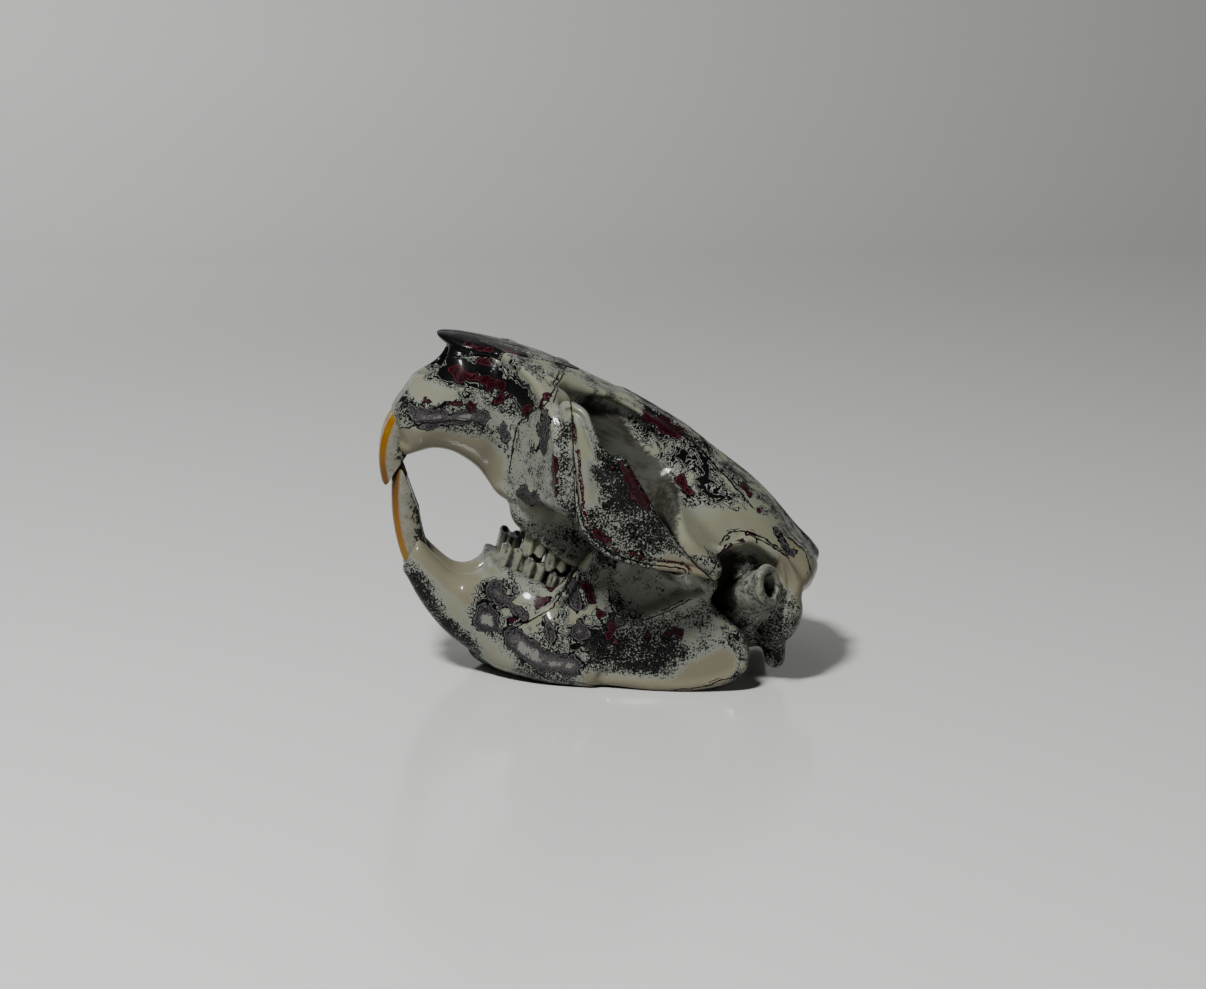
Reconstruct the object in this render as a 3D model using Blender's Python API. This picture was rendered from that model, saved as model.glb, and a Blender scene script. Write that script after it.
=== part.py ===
"""A beaver skull with its lower jaw closed, resting on the jaw as it would on a table.

The bones are drawn in the skull's own frame, in millimetres: +X towards the snout, +Y to the skull's
left, +Z up, with the chewing surface of the cheek teeth level. Each bone is a smooth field of distances,
joined and carved from named forms, and meshed once. The whole skull is then tipped back onto its jaw.
"""

import math

import bmesh
import bpy
import numpy as np
from mathutils import Matrix, Vector

MM = 0.001
REST_PITCH = math.radians(28.0)  # how far the snout lifts when the skull rests on its jaw
SUTURE = 0.3  # the gap between neighbouring bones
FLAT = 0.7  # how much of each resting point is worn flat

CRANIUM_CELL = 1.15
JAW_CELL = 1.1
CRANIUM_FACES = 6600
JAW_FACES = 1800

# The skull's driving sizes
BRAINCASE_HALF_WIDTH = 25.0
MASTOID_HALF_WIDTH = 31.0
UPPER_ROW_FRONT = 18.6
LOWER_ROW_FRONT = 24.0
TOOTH_PITCH = 7.1
CHEEK_TEETH = 4
BITE_GAP = 0.8
UPPER_ROOTS = 14.0
LOWER_ROOTS = -10.0


# Fields of distance

class Lattice:
    """The sample points round one bone, held as three open axes."""

    def __init__(self, low, high, cell):
        self.low = np.array(low, np.float32)
        self.cell = cell
        axes = [np.arange(a, b + cell, cell, dtype=np.float32) for a, b in zip(low, high)]
        self.x = axes[0][:, None, None]
        self.y = axes[1][None, :, None]
        self.z = axes[2][None, None, :]


def join(a, b, soft):
    """The union of two fields, with a fillet of about that size between them."""
    near = np.maximum(soft - np.abs(a - b), 0)
    return np.minimum(a, b) - near * near / (4 * soft)


def carve(a, b, soft):
    """Field a with b taken away."""
    return -join(-a, b, soft)


def overlap(a, b, soft):
    """What is in both fields."""
    return -join(-a, -b, soft)


def along(at, stations):
    """A smooth curve through a few stations {place: value}, read at the places given."""
    places = np.array(sorted(stations), np.float64)
    values = np.array([stations[p] for p in sorted(stations)], np.float64)
    steps = np.diff(values) / np.diff(places)
    slopes = np.concatenate([steps[:1], (steps[1:] + steps[:-1]) / 2, steps[-1:]])
    slopes[1:-1][steps[1:] * steps[:-1] <= 0] = 0
    at = np.clip(at, places[0], places[-1])
    i = np.clip(np.searchsorted(places, at, side="right") - 1, 0, len(places) - 2)
    width = places[i + 1] - places[i]
    t = (at - places[i]) / width
    rise = values[i + 1] - values[i]
    a = slopes[i] * width - rise
    b = -slopes[i + 1] * width + rise
    return (values[i] + t * rise + t * (1 - t) * (a * (1 - t) + b * t)).astype(np.float32)


def ellipsoid(g, centre, radii):
    dx, dy, dz = g.x - centre[0], g.y - centre[1], g.z - centre[2]
    rx, ry, rz = radii
    near = np.sqrt((dx / rx) ** 2 + (dy / ry) ** 2 + (dz / rz) ** 2)
    steep = np.sqrt((dx / rx**2) ** 2 + (dy / ry**2) ** 2 + (dz / rz**2) ** 2)
    return near * (near - 1) / np.maximum(steep, 1e-6)


def rod(g, a, b, ra, rb, flat=1.0):
    """A round rod from a to b. flat over 1 makes it that much thinner across Y."""
    a, b = np.array(a, np.float32), np.array(b, np.float32)
    d = b - a
    px, py, pz = g.x - a[0], (g.y - a[1]) * flat, g.z - a[2]
    t = np.clip((px * d[0] + py / flat * d[1] + pz * d[2]) / float(d @ d), 0, 1)
    away = np.sqrt((px - t * d[0]) ** 2 + (py - t * d[1] * flat) ** 2 + (pz - t * d[2]) ** 2)
    return away - (ra + (rb - ra) * t)


def chain(g, points, radii, flat=1.0):
    """Rods end to end."""
    field = None
    for i in range(len(points) - 1):
        one = rod(g, points[i], points[i + 1], radii[i], radii[i + 1], flat)
        field = one if field is None else np.minimum(field, one)
    return field


def closed_curve(points, steps=5):
    """A closed curve through the points, as a fine ring."""
    p = np.array(points, np.float64)
    before, after, beyond = np.roll(p, 1, 0), np.roll(p, -1, 0), np.roll(p, -2, 0)
    ring = []
    for t in np.arange(steps) / steps:
        ring.append(
            0.5 * (2 * p + (after - before) * t + (2 * before - 5 * p + 4 * after - beyond) * t**2
                   + (3 * p - before - 3 * after + beyond) * t**3)
        )
    return np.stack(ring, 1).reshape(-1, 2)


def outline(points, u, v, steps=5):
    """Distance to a closed outline in a plane, negative inside it. u and v are the plane's open axes."""
    ring = closed_curve(points, steps)
    best = None
    inside = None
    for a, b in zip(ring, np.roll(ring, -1, 0)):
        d = b - a
        t = np.clip(((u - a[0]) * d[0] + (v - a[1]) * d[1]) / max(d @ d, 1e-9), 0, 1)
        away = (u - a[0] - t * d[0]) ** 2 + (v - a[1] - t * d[1]) ** 2
        rise = d[1] if abs(d[1]) > 1e-9 else 1e-9
        crossed = ((a[1] > v) != (b[1] > v)) & (u < d[0] * (v - a[1]) / rise + a[0])
        best = away if best is None else np.minimum(best, away)
        inside = crossed if inside is None else inside ^ crossed
    return np.where(inside, -np.sqrt(best), np.sqrt(best)).astype(np.float32)


def trunk(g, stations, middle=None):
    """A form along X with rounded sections. Each station is x: (top, bottom, half width, fullness)."""
    top, bottom, wide, full = (along(g.x, {x: s[i] for x, s in stations.items()}) for i in range(4))
    centre, tall = (top + bottom) / 2, (top - bottom) / 2
    across = np.abs(g.y - (0 if middle is None else middle)) / wide
    up = np.abs(g.z - centre) / tall
    r = np.maximum((across**full + up**full) ** (1 / full), 1e-4)
    slope = np.hypot((across / r) ** (full - 1) / wide, (up / r) ** (full - 1) / tall)
    ends = np.maximum(g.x - max(stations), min(stations) - g.x)
    return overlap((r - 1) / np.maximum(slope, 1e-4), ends + 0 * g.y, 1.5)


def dent(g, field, centre, radii, depth):
    """Presses a soft hollow into a field, or raises a swelling with a negative depth."""
    dx, dy, dz = ((v - c) / r for v, c, r in zip((g.x, g.y, g.z), centre, radii))
    return field + depth * np.exp(-(dx * dx + dy * dy + dz * dz))


# From field to mesh

CORNERS = np.array([[i, j, k] for i in (0, 1) for j in (0, 1) for k in (0, 1)])
EDGES = [(a, b) for a in range(8) for b in range(a + 1, 8) if np.abs(CORNERS[a] - CORNERS[b]).sum() == 1]


def settle_saddles(field):
    """Fills the few corners where two sheets would meet in one cell, so that the mesh stays a plain surface."""
    for _ in range(12):
        inside = field < 0
        fill = np.zeros_like(inside)
        for u, v in ((0, 1), (0, 2), (1, 2)):
            def side(du, dv, array=inside, u=u, v=v):
                part = [slice(None)] * 3
                part[u] = slice(du, array.shape[u] - 1 + du)
                part[v] = slice(dv, array.shape[v] - 1 + dv)
                return array[tuple(part)]
            a, b, c, d = side(0, 0), side(1, 1), side(1, 0), side(0, 1)
            first = a & b & ~c & ~d
            second = c & d & ~a & ~b
            side(1, 0, fill)[first] = True
            side(0, 0, fill)[second] = True
        if not fill.any():
            break
        field = np.where(fill, -0.05, field)
    return field


def surface(field, g, mirrored):
    """The field's zero surface, one point for each cell that it passes through, joined in squares."""
    low = g.low.astype(np.float64).copy()
    if mirrored:
        field = np.concatenate([field[:, ::-1], field], 1)
        low[1] = -(field.shape[1] / 2 - 0.5) * g.cell
    field = settle_saddles(field)
    inside = field < 0
    cells = [inside[i : i - 1 or None, j : j - 1 or None, k : k - 1 or None] for i, j, k in CORNERS]
    some = np.logical_or.reduce(cells)
    every = np.logical_and.reduce(cells)
    where = np.argwhere(some & ~every)
    number = np.full(some.shape, -1, np.int64)
    number[tuple(where.T)] = np.arange(len(where))
    value = np.stack([field[tuple((where + c).T)] for c in CORNERS], 1)
    total = np.zeros((len(where), 3))
    count = np.zeros((len(where), 1))
    for a, b in EDGES:
        cut = (value[:, a] < 0) != (value[:, b] < 0)
        t = np.where(cut, value[:, a] / np.where(cut, value[:, a] - value[:, b], 1), 0)[:, None]
        total += np.where(cut[:, None], CORNERS[a] + t * (CORNERS[b] - CORNERS[a]), 0)
        count += cut[:, None]
    points = low + (where + total / count) * g.cell
    squares = []
    for axis in range(3):
        u, v = (axis + 1) % 3, (axis + 2) % 3
        here = [slice(None)] * 3
        there = [slice(None)] * 3
        here[axis], there[axis] = slice(0, -1), slice(1, None)
        start, end = inside[tuple(here)], inside[tuple(there)]
        for outward, flip in ((start & ~end, False), (~start & end, True)):
            at = np.argwhere(outward)
            at = at[(at[:, u] > 0) & (at[:, v] > 0)]
            corner = []
            for du, dv in ((0, 0), (1, 0), (1, 1), (0, 1)):
                cell = at.copy()
                cell[:, u] -= 1 - du
                cell[:, v] -= 1 - dv
                corner.append(number[tuple(cell.T)])
            face = np.stack(corner, 1)
            squares.append(face[:, ::-1] if flip else face)
    return points, np.concatenate(squares)


# Bones

# The skull from the side, down its middle
SIDE_PROFILE = [
    (61.5, 50), (61.9, 41.6), (63.2, 36.4), (66.0, 32.9), (67.9, 30), (67.9, 26), (67.8, 20.3), (64, 15.0),
    (59.0, 10.2), (57.1, 13.0), (53.9, 15.9), (48.8, 17.9), (43.2, 17.7), (37.1, 16.1), (31.2, 13.8), (25, 11.6),
    (14, 10.0), (-6, 9.5), (-30, 10.5), (-48, 11), (-53, 13.5), (-56, 20), (-58.6, 27), (-59.2, 33.4),
    (-56.2, 37.4), (-50.9, 39.8), (-44.1, 40.7), (-36.1, 43.8), (-28.1, 46.9), (-16.9, 50.2), (-6.6, 51.9),
    (3, 52.4), (12.5, 52.4), (21.9, 52.1), (31.3, 51.8), (43.2, 50.2), (51.7, 48.5),
]
# Along the skull, x: (top, bottom, half width, fullness of the section)
SKULL_TRUNK = {
    72: (42, 15, 10.6, 2.2), 66: (45, 10, 13.2, 2.3), 60: (47, 9, 14.8, 2.4), 52: (49.2, 13.0, 15.6, 2.4),
    44: (50.5, 14.0, 15.6, 2.4), 36: (51.8, 12, 13.6, 2.5), 28: (52.2, 9.5, 10.8, 2.6), 20: (52.3, 9, 9.8, 2.6),
    10: (52.4, 9, 10.4, 2.6), 2: (52.2, 9, 12.0, 2.5), -6: (51.6, 10, 15.0, 2.4), -14: (50.6, 13, 19.4, 2.2),
    -22: (48.8, 12, 23.6, 2.3), -32: (45.6, 11, 25.3, 2.5), -42: (42.2, 11, 26.0, 2.6),
    -52: (40.2, 11, 26.0, 2.6), -60: (37.5, 12, 24.0, 2.6),
}
FRONTAL_ROOF = {
    44: (50.2, 44, 12.5, 3.0), 39: (51.2, 43, 17.0, 3.0), 34: (51.8, 43.5, 18.5, 3.0), 29: (52.2, 44.5, 15.5, 3.0),
    23: (52.4, 45.5, 12.6, 3.0), 16: (52.5, 45.5, 12.2, 3.0), 9: (52.4, 45.0, 13.6, 3.0), 2: (52.1, 43, 13.6, 3.0),
    -6: (51.0, 41, 12.0, 2.6), -18: (47.5, 38, 10.0, 2.4),
}
NASAL_BONES = {
    66.4: (44.6, 43.5, 2.6, 2.0), 64: (45.7, 43.0, 6.6, 2.2), 60: (47.0, 42.6, 10.2, 2.4),
    55: (48.4, 43.4, 11.8, 2.6), 47: (50.2, 45.2, 11.6, 2.6), 40: (51.3, 47.0, 9.8, 2.6),
    33: (52.1, 49.0, 7.4, 2.4), 26: (52.5, 50.2, 4.0, 2.2),
}
ZYGOMATIC_FACE = [(9, 14), (15, 11.5), (24, 14.5), (33, 18), (41.0, 21), (43.4, 26), (41.5, 35), (36.5, 43),
                  (29, 47.0), (20, 49.0), (9, 46)]
# How far forward the front of the snout reaches, by height
SNOUT_FRONT = {14: 63.5, 20.3: 68.4, 26: 67.6, 30: 66.6, 33: 65.2, 36.4: 63.2, 41.6: 62.4, 50: 63.0}
SNOUT_ROUNDING = 0.042
# How far back the occiput's face stands, by height
OCCIPUT_FACE = {10: -47.4, 18.7: -50.2, 22.7: -51.6, 27: -53.4, 31: -54.9, 36: -54.0, 40: -50.5}
OCCIPUT_HALF = 3.0
CHEEKBONE_SIDE = [
    (31.4, 46.0), (27.4, 41.0), (21.9, 32.9), (16.8, 25.4), (13.2, 21.1), (8.2, 18.4), (1.9, 17.4), (-6.5, 18.7),
    (-16.9, 21.9), (-28.3, 24.6), (-29.0, 26.0), (-23.9, 27.2), (-17.0, 28.4), (-10.5, 30.0), (-5.5, 32.4),
    (0.3, 36.3), (6.0, 39.8), (11.0, 43.0), (13.6, 41.8), (17.4, 42.6), (21.8, 46.2), (25.1, 48.7), (29.6, 48.6),
]


def arch_middle(x, z):
    """How far out the cheek arch's mid surface stands, from the side."""
    out = along(x, {36: 32.5, 30: 36.5, 23: 40.4, 15: 42.6, 6: 43.4, -4: 43.4, -14: 42.2, -24: 40.2, -32: 37.5})
    return out + along(z, {15: 0.9, 21: 0.6, 30: -1.1, 39: -0.6, 50: 0.0})


def zygomatic_plate(g):
    """The broad front face of the cheek arch, which slopes out and back from the snout."""
    middle = 34.8 + 0.5 * (g.z - 28) - 0.52 * (g.y - 15)
    middle = middle - 2.0 * np.clip(1 - ((g.y - 28) / 13) ** 2, 0, 1)
    across = (np.abs(g.x - middle) - 2.3) * 0.82
    return overlap(across, outline(ZYGOMATIC_FACE, g.y, g.z), 2.4)


def cheek_arch(g):
    side = outline(CHEEKBONE_SIDE, g.x, g.z)
    thick = 1.45 + 0.55 * np.exp(-(((side + 1.6) / 1.5) ** 2))
    return overlap(side, np.abs(g.y - arch_middle(g.x, g.z)) - thick, 1.8)


def squamosal_shelf(g):
    """The root of the cheek arch behind, over the jaw's joint."""
    seen_from_above = [(-8, 18), (-10, 28), (-11.5, 36), (-14, 41.8), (-20, 43.6), (-27, 42.8), (-30, 39.6),
                       (-29.0, 34), (-31, 27), (-34, 18)]
    middle = 33.2 - 0.16 * (g.y - 25) - 0.25 * (-10 - g.x)
    half = along(g.y, {18: 4.5, 27: 3.2, 36: 2.4, 44: 2.0})
    return overlap(outline(seen_from_above, g.x, g.y), np.abs(g.z - middle) - half, 2.4)


def occiput_middle(g):
    return along(g.z, OCCIPUT_FACE) + 8.5 * (g.y / MASTOID_HALF_WIDTH) ** 2


def occiput(g):
    """The plate that closes the skull behind, with the crest along its rim."""
    face = [(-20, 35.4), (0, 38.6), (20, 35.4), (27, 30), (MASTOID_HALF_WIDTH, 23), (29, 16), (22, 11), (0, 10.5),
            (-22, 11)]
    return overlap(outline(face, g.y, g.z), np.abs(g.x - occiput_middle(g)) - OCCIPUT_HALF, 2.5)


EAR_MOUTH = Vector((-42.0, 35.0, 28.9))
EAR_OUTWARD = Vector((-0.62, 0.58, 0.53)).normalized()
EAR_ROOT = (-38.5, 22.0, 18.0)
EAR_TUBE = 5.4
EAR_SIDES = 14


def cranium_field(g):
    profile = outline(SIDE_PROFILE, g.x, g.z)
    profile = overlap(profile, g.x + SNOUT_ROUNDING * g.y**2 - along(g.z, SNOUT_FRONT), 2.0)
    bone = overlap(trunk(g, SKULL_TRUNK), profile, 2.0)
    # The socket of the upper incisor swells the side of the snout
    socket = [(43.1 + 18 * math.cos(a), 5.6 + 1.6 * a, 16 + 18 * math.sin(a)) for a in (0.15, 0.5, 0.9, 1.4, 1.9)]
    bone = join(bone, overlap(chain(g, socket, [6.2, 7.2, 7.8, 7.2, 6.0]), profile, 1.5), 3.0)
    bone = join(bone, ellipsoid(g, (-25, 0, 29.0), (27, BRAINCASE_HALF_WIDTH, 19.0)), 5.0)
    bone = overlap(bone, occiput_middle(g) - OCCIPUT_HALF - g.x, 2.0)
    bone = join(bone, trunk(g, FRONTAL_ROOF), 3.5)
    bone = join(bone, occiput(g), 2.5)
    bone = join(bone, zygomatic_plate(g), 4.5)
    bone = join(bone, squamosal_shelf(g), 4.0)
    bone = join(bone, cheek_arch(g), 2.5)
    bone = join(bone, ellipsoid(g, (32.0, 23.0, 45.4), (5.0, 5.0, 3.2)), 4.0)
    # The upper tooth row's block, and the roof of the mouth between the two rows
    row_middle = along(g.x, ROW_MIDDLE)
    block = [(26.0, 14.5), (22.8, 12.0), (19.0, 8.4), (10, 7.0), (0, 6.2), (-9, 6.6), (-12, 11), (-10, 22), (20, 22)]
    bone = join(bone, overlap(outline(block, g.x, g.z), np.abs(g.y - row_middle) - 4.9, 2.0), 3.0)
    # Ridge of the braincase, mastoids, ear capsules and the joints with the neck
    bone = join(bone, chain(g, [(12, 6.6, 51.6), (-8, 3.2, 50.8), (-28, 0.8, 46.4), (-56, 0.4, 37.2)],
                            [1.0, 1.2, 1.5, 1.6]), 3.0)
    bone = join(bone, ellipsoid(g, (-51.5, 26.0, 20.5), (4.8, 5.0, 7.5)), 3.0)
    crest = [(-27, 34, 31.5), (-33, 28.0, 35.8), (-43, 26.5, 35.6), (-49.5, 27.0, 30.5), (-51.5, 27.5, 23)]
    bone = join(bone, chain(g, crest, [1.6, 1.8, 1.8, 1.8, 1.6]), 3.5)
    bone = carve(bone, ellipsoid(g, (-35.5, 34.5, 26.5), (10.0, 12.5, 10.0)), 2.0)
    bone = join(bone, ellipsoid(g, (-42.0, 15.5, 14.5), (12.0, 9.6, 8.6)), 2.5)
    bone = join(bone, rod(g, EAR_ROOT, EAR_MOUTH, EAR_TUBE + 0.8, EAR_TUBE), 2.5)
    bone = join(bone, ellipsoid(g, (-53.4, 7.6, 14.5), (4.2, 4.0, 5.6)), 2.0)
    bone = join(bone, rod(g, (-51.5, 21.5, 16), (-56.2, 20.8, 9.0), 4.0, 2.8), 2.5)
    pterygoid = outline([(-6, 15), (-9, 8), (-16, 4.5), (-24, 5.0), (-29, 8.5), (-30, 15)], g.x, g.z)
    bone = join(bone, overlap(pterygoid, np.abs(g.y - 7.6) - 1.5, 1.2), 2.0)
    # Openings and hollows
    bone = carve(bone, ellipsoid(g, (15, 14.5, 36), (11.5, 6.5, 9.0)), 3.0)
    bone = carve(bone, ellipsoid(g, (-61, 0, 21.0), (13.0, 6.6, 5.6)), 1.5)
    bone = carve(bone, ellipsoid(g, (-41, 0, 9.5), (7.5, 4.0, 5.0)), 2.0)
    bone = carve(bone, ellipsoid(g, (2, 0, 4.0), (28, 4.2, 7.0)), 2.0)
    bone = carve(bone, ellipsoid(g, (33.5, 16.5, 16.0), (6.0, 2.0, 3.2)), 1.5)
    bone = carve(bone, ellipsoid(g, (64, 0, 37.6), (24, 8.8, 6.0)), 1.2)
    return join(bone, trunk(g, NASAL_BONES), 1.2)


JAW_SIDE = [
    (42.6, -9.3), (36.7, -11.4), (31.5, -12.6), (27.4, -12.8), (24.9, -10.4), (23.7, -6), (20, -4.2), (8, -4.0),
    (4.8, 4), (3.0, 11), (0.0, 18), (-4, 23.5), (-8.5, 26), (-10.6, 23.0), (-14, 19.5), (-18, 18.5), (-22.5, 20.4),
    (-27.6, 23.4), (-29.6, 21.4), (-30.6, 16.9), (-36.2, 15.0), (-41.9, 13.4), (-46.2, 9.7), (-47.7, 4.2),
    (-44.9, -1.3), (-37.2, -7.7), (-27.9, -12.8), (-20.7, -16.0), (-15.9, -18.5), (-6.5, -23.5), (3.7, -27.2),
    (11.6, -29.6), (19.7, -29.2), (25.4, -28.4), (32.3, -26), (37.3, -23.4), (41.2, -20.3),
]
JAW_BODY = {
    45: (-8.4, -18.6, 3.8, 2.2), 43: (-9.2, -19.6, 4.5, 2.3), 38: (-11.0, -23.0, 5.6, 2.3),
    32: (-12.3, -26.2, 6.3, 2.3), 26: (-9.9, -28.4, 6.8, 2.3), 20: (-4.4, -29.3, 7.2, 2.4),
    12: (-4.0, -29.8, 7.4, 2.4), 4: (-5.0, -27.6, 7.0, 2.3), -4: (-9.0, -24.6, 5.4, 2.2), -13: (-13, -19.6, 3.0, 2.0),
}
JAW_MIDDLE = {46: 4.6, 32: 6.2, 20: 8.6, 12: 12.0, 4: 17.8, -4: 22.0, -16: 27.0, -30: 31.0, -48: 33.0}
ROW_MIDDLE = {26: 8.2, 10: 9.6, -6: 12.0, -14: 12.4}
# The chewing surface's height along the rows
BITE = {24: 2.6, 18: 2.4, 10: 1.6, 0: 1.1, -10: 1.1}


def jaw_field(g):
    middle = along(g.x, JAW_MIDDLE)
    body = trunk(g, JAW_BODY, middle)
    side = outline(JAW_SIDE, g.x, g.z)
    rim = 0.7 * np.exp(-(((side + 1.8) / 1.6) ** 2))
    lean = along(g.z, {-30: -3.0, -10: -0.5, 10: 0.0, 30: 0.5})
    ramus = overlap(side, np.abs(g.y - middle - lean) - (1.5 + rim), 1.8)
    bone = join(body, overlap(ramus, g.x - 10.5 + 0 * g.z, 2.0), 4.0)
    row_middle = along(g.x, ROW_MIDDLE)
    block = [(25.2, -7.5), (24.2, -4.2), (12, -5.0), (-3, -4.4), (-6, -9), (0, -16), (24, -16)]
    bone = join(bone, overlap(outline(block, g.x, g.z), np.abs(g.y - row_middle) - 4.6, 2.0), 3.0)
    ridge = [(11.6, 17.0, -17), (7.9, 18.2, -13), (5.2, 19.6, -7), (3.6, 20.6, -1), (3.4, 20.8, 6), (2.2, 21.4, 13)]
    bone = join(bone, chain(g, ridge, [1.3, 1.6, 1.5, 1.4, 1.3, 1.2]), 2.2)
    bone = join(bone, ellipsoid(g, (-25.4, 29.6, 20.8), (4.6, 3.0, 3.0)), 2.5)
    lip = [(-5.6, 23.4, 5.0), (-10.4, 25.6, 2.0), (-15.6, 27.6, 3.6), (-20.6, 29.4, 9.4), (-25, 30.4, 16)]
    bone = join(bone, chain(g, lip, [1.6, 2.2, 2.3, 2.2, 1.8]), 5.0)
    bone = dent(g, bone, (-13.5, 30.5, 10.5), (8.5, 3.2, 5.5), 1.2)
    bone = join(bone, ellipsoid(g, (11.5, 3.4, -30.2), (6.5, 3.0, 2.6)), 3.0)
    # The two halves meet along the chin
    return overlap(bone, SUTURE / 2 - g.y + 0 * g.x, 0.6)


# Teeth and cuts, as plain meshes

def mesh_from(name, points, faces):
    mesh = bpy.data.meshes.new(name)
    mesh.from_pydata([tuple(c * MM for c in p) for p in points], [], faces)
    obj = bpy.data.objects.new(name, mesh)
    bpy.context.scene.collection.objects.link(obj)
    return obj


def stack(name, rings):
    """A closed body through rings of points, capped at both ends and facing out."""
    n = len(rings[0])
    points = [p for ring in rings for p in ring]
    faces = [tuple(range(n)), tuple(range(len(points) - n, len(points)))[::-1]]
    for r in range(len(rings) - 1):
        for i in range(n):
            j = (i + 1) % n
            faces.append((r * n + j, r * n + i, (r + 1) * n + i, (r + 1) * n + j))
    obj = mesh_from(name, points, faces)
    tidy = bmesh.new()
    tidy.from_mesh(obj.data)
    bmesh.ops.triangulate(tidy, faces=[f for f in tidy.faces if len(f.verts) > 4])
    bmesh.ops.recalc_face_normals(tidy, faces=tidy.faces)
    tidy.to_mesh(obj.data)
    tidy.free()
    return obj


def cheek_tooth(name, middle, top, bottom, side):
    """One cheek tooth, with the fold that parts its outer face in two columns and two folds inside."""
    half_long, half_wide, fold = 3.45, 3.7, 2.0
    outer = [(-half_long, 0.4), (-3.1, 0.75), (-1.9, 1.0), (-0.75, 0.93), (0, 1 - fold / half_wide),
             (0.75, 0.93), (1.9, 1.0), (3.1, 0.75), (half_long, 0.4)]
    inner = [(half_long, -0.5), (2.9, -0.85), (1.5, -0.93), (0.9, -0.5), (0.3, -0.95), (-0.9, -0.95),
             (-1.4, -0.5), (-2.0, -0.92), (-3.1, -0.75)]
    ring = [(middle[0] + x, side * (middle[1] + half_wide * y)) for x, y in outer + inner]
    if side < 0:
        ring.reverse()
    return stack(name, [[(x, y, top) for x, y in ring], [(x, y, bottom) for x, y in ring]])


# A section of an incisor, (depth behind the front, distance from the midline), in millimetres
UPPER_SECTION = [(1.0, 0.2), (0.15, 1.2), (0, 4.0), (0.3, 6.6), (1.4, 7.9), (3.6, 8.0), (6.0, 7.0), (7.6, 5.2),
                 (7.8, 3.2), (6.0, 0.9), (3.6, 0.2)]
LOWER_SECTION = [(0.9, 0.2), (0.1, 1.1), (0, 3.6), (0.3, 5.8), (1.4, 7.0), (3.4, 7.1), (5.6, 6.2), (7.2, 4.6),
                 (7.4, 2.8), (5.6, 0.8), (3.2, 0.2)]
# Each incisor's front edge is an arc: centre x, centre z, radius, angle at the root in degrees
UPPER_ARC = (43.1, 17.7, 24.5, 24.0)
LOWER_ARC = (8.5, 23.5, 54.5, -62.0)
# Where the worn tip ends, by the distance from the arc's centre
UPPER_TIP = {24.5: -42.6, 23.7: -45.0, 21.7: -41.2, 19.1: -34.0, 17.6: -29.0, 16.5: -24.0}
LOWER_TIP = {54.5: -23.1, 52.4: -18.7, 49.9: -23.4, 48.0: -29.2, 46.7: -34.0}


def incisor(name, arc, section, tip, side, grow=0.0):
    """A curved incisor, narrowing to its root. grow makes the body of its socket."""
    cx, cz, radius, root = arc
    middle = np.mean(np.array(section), 0)
    rings = []
    steps = 11
    for k in range(steps):
        t = k / (steps - 1)
        shrink = 0.74 + 0.26 * min(1.0, t / 0.45)
        ring = []
        for depth, out in section:
            away = np.array((depth, out)) - middle
            away = away * shrink + grow * away / np.linalg.norm(away)
            r = radius - middle[0] - away[0]
            end = float(along(np.array([r]), tip)[0])
            start = root + math.degrees(grow / r) * math.copysign(1, root - end)
            angle = math.radians(start + (end - start) * t)
            ring.append((cx + r * math.cos(angle), side * (middle[1] + away[1]), cz + r * math.sin(angle)))
        rings.append(ring)
    return stack(name, rings)


def ear_drill(side):
    """The body that trims the ear tube flat and opens it."""
    across = EAR_OUTWARD.orthogonal().normalized()
    other = EAR_OUTWARD.cross(across)
    rings = []
    for depth, radius in ((-7.0, 2.7), (0.0, 3.5), (0.0, 9.5), (9.0, 9.5)):
        ring = []
        for k in range(EAR_SIDES):
            angle = 2 * math.pi * k / EAR_SIDES
            p = EAR_MOUTH + EAR_OUTWARD * depth + (across * math.cos(angle) + other * math.sin(angle)) * radius
            ring.append((p.x, side * p.y, p.z))
        rings.append(ring)
    return stack("ear drill", rings)


def combine(obj, others, operation):
    """One Boolean with a collection of closed bodies, which are used up."""
    group = bpy.data.collections.new(obj.name + " tools")
    bpy.context.scene.collection.children.link(group)
    for other in others:
        bpy.context.scene.collection.objects.unlink(other)
        group.objects.link(other)
    step = obj.modifiers.new("combine", "BOOLEAN")
    step.operation = operation
    step.operand_type = "COLLECTION"
    step.collection = group
    step.solver = "EXACT"
    apply_modifiers(obj)
    for other in list(group.objects):
        bpy.data.objects.remove(other)
    bpy.data.collections.remove(group)


def apply_modifiers(obj):
    bpy.context.view_layer.update()
    mesh = bpy.data.meshes.new_from_object(obj.evaluated_get(bpy.context.evaluated_depsgraph_get()))
    obj.modifiers.clear()
    obj.data = mesh


def keep_largest(obj, tiny=2e-6):
    """Drops crumbs left by a cut and the slivers along its edges."""
    work = bmesh.new()
    work.from_mesh(obj.data)
    bmesh.ops.remove_doubles(work, verts=work.verts, dist=tiny)
    bmesh.ops.dissolve_degenerate(work, edges=work.edges, dist=tiny)
    bmesh.ops.triangulate(work, faces=work.faces)
    left = set(work.faces)
    pieces = []
    while left:
        piece = {left.pop()}
        front = list(piece)
        while front:
            face = front.pop()
            for edge in face.edges:
                for near in edge.link_faces:
                    if near in left:
                        left.discard(near)
                        piece.add(near)
                        front.append(near)
        pieces.append(piece)
    pieces.sort(key=len)
    crumbs = [f for piece in pieces[:-1] for f in piece]
    bmesh.ops.delete(work, geom=crumbs, context="FACES")
    bmesh.ops.delete(work, geom=[v for v in work.verts if not v.link_faces], context="VERTS")
    work.to_mesh(obj.data)
    work.free()


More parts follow.
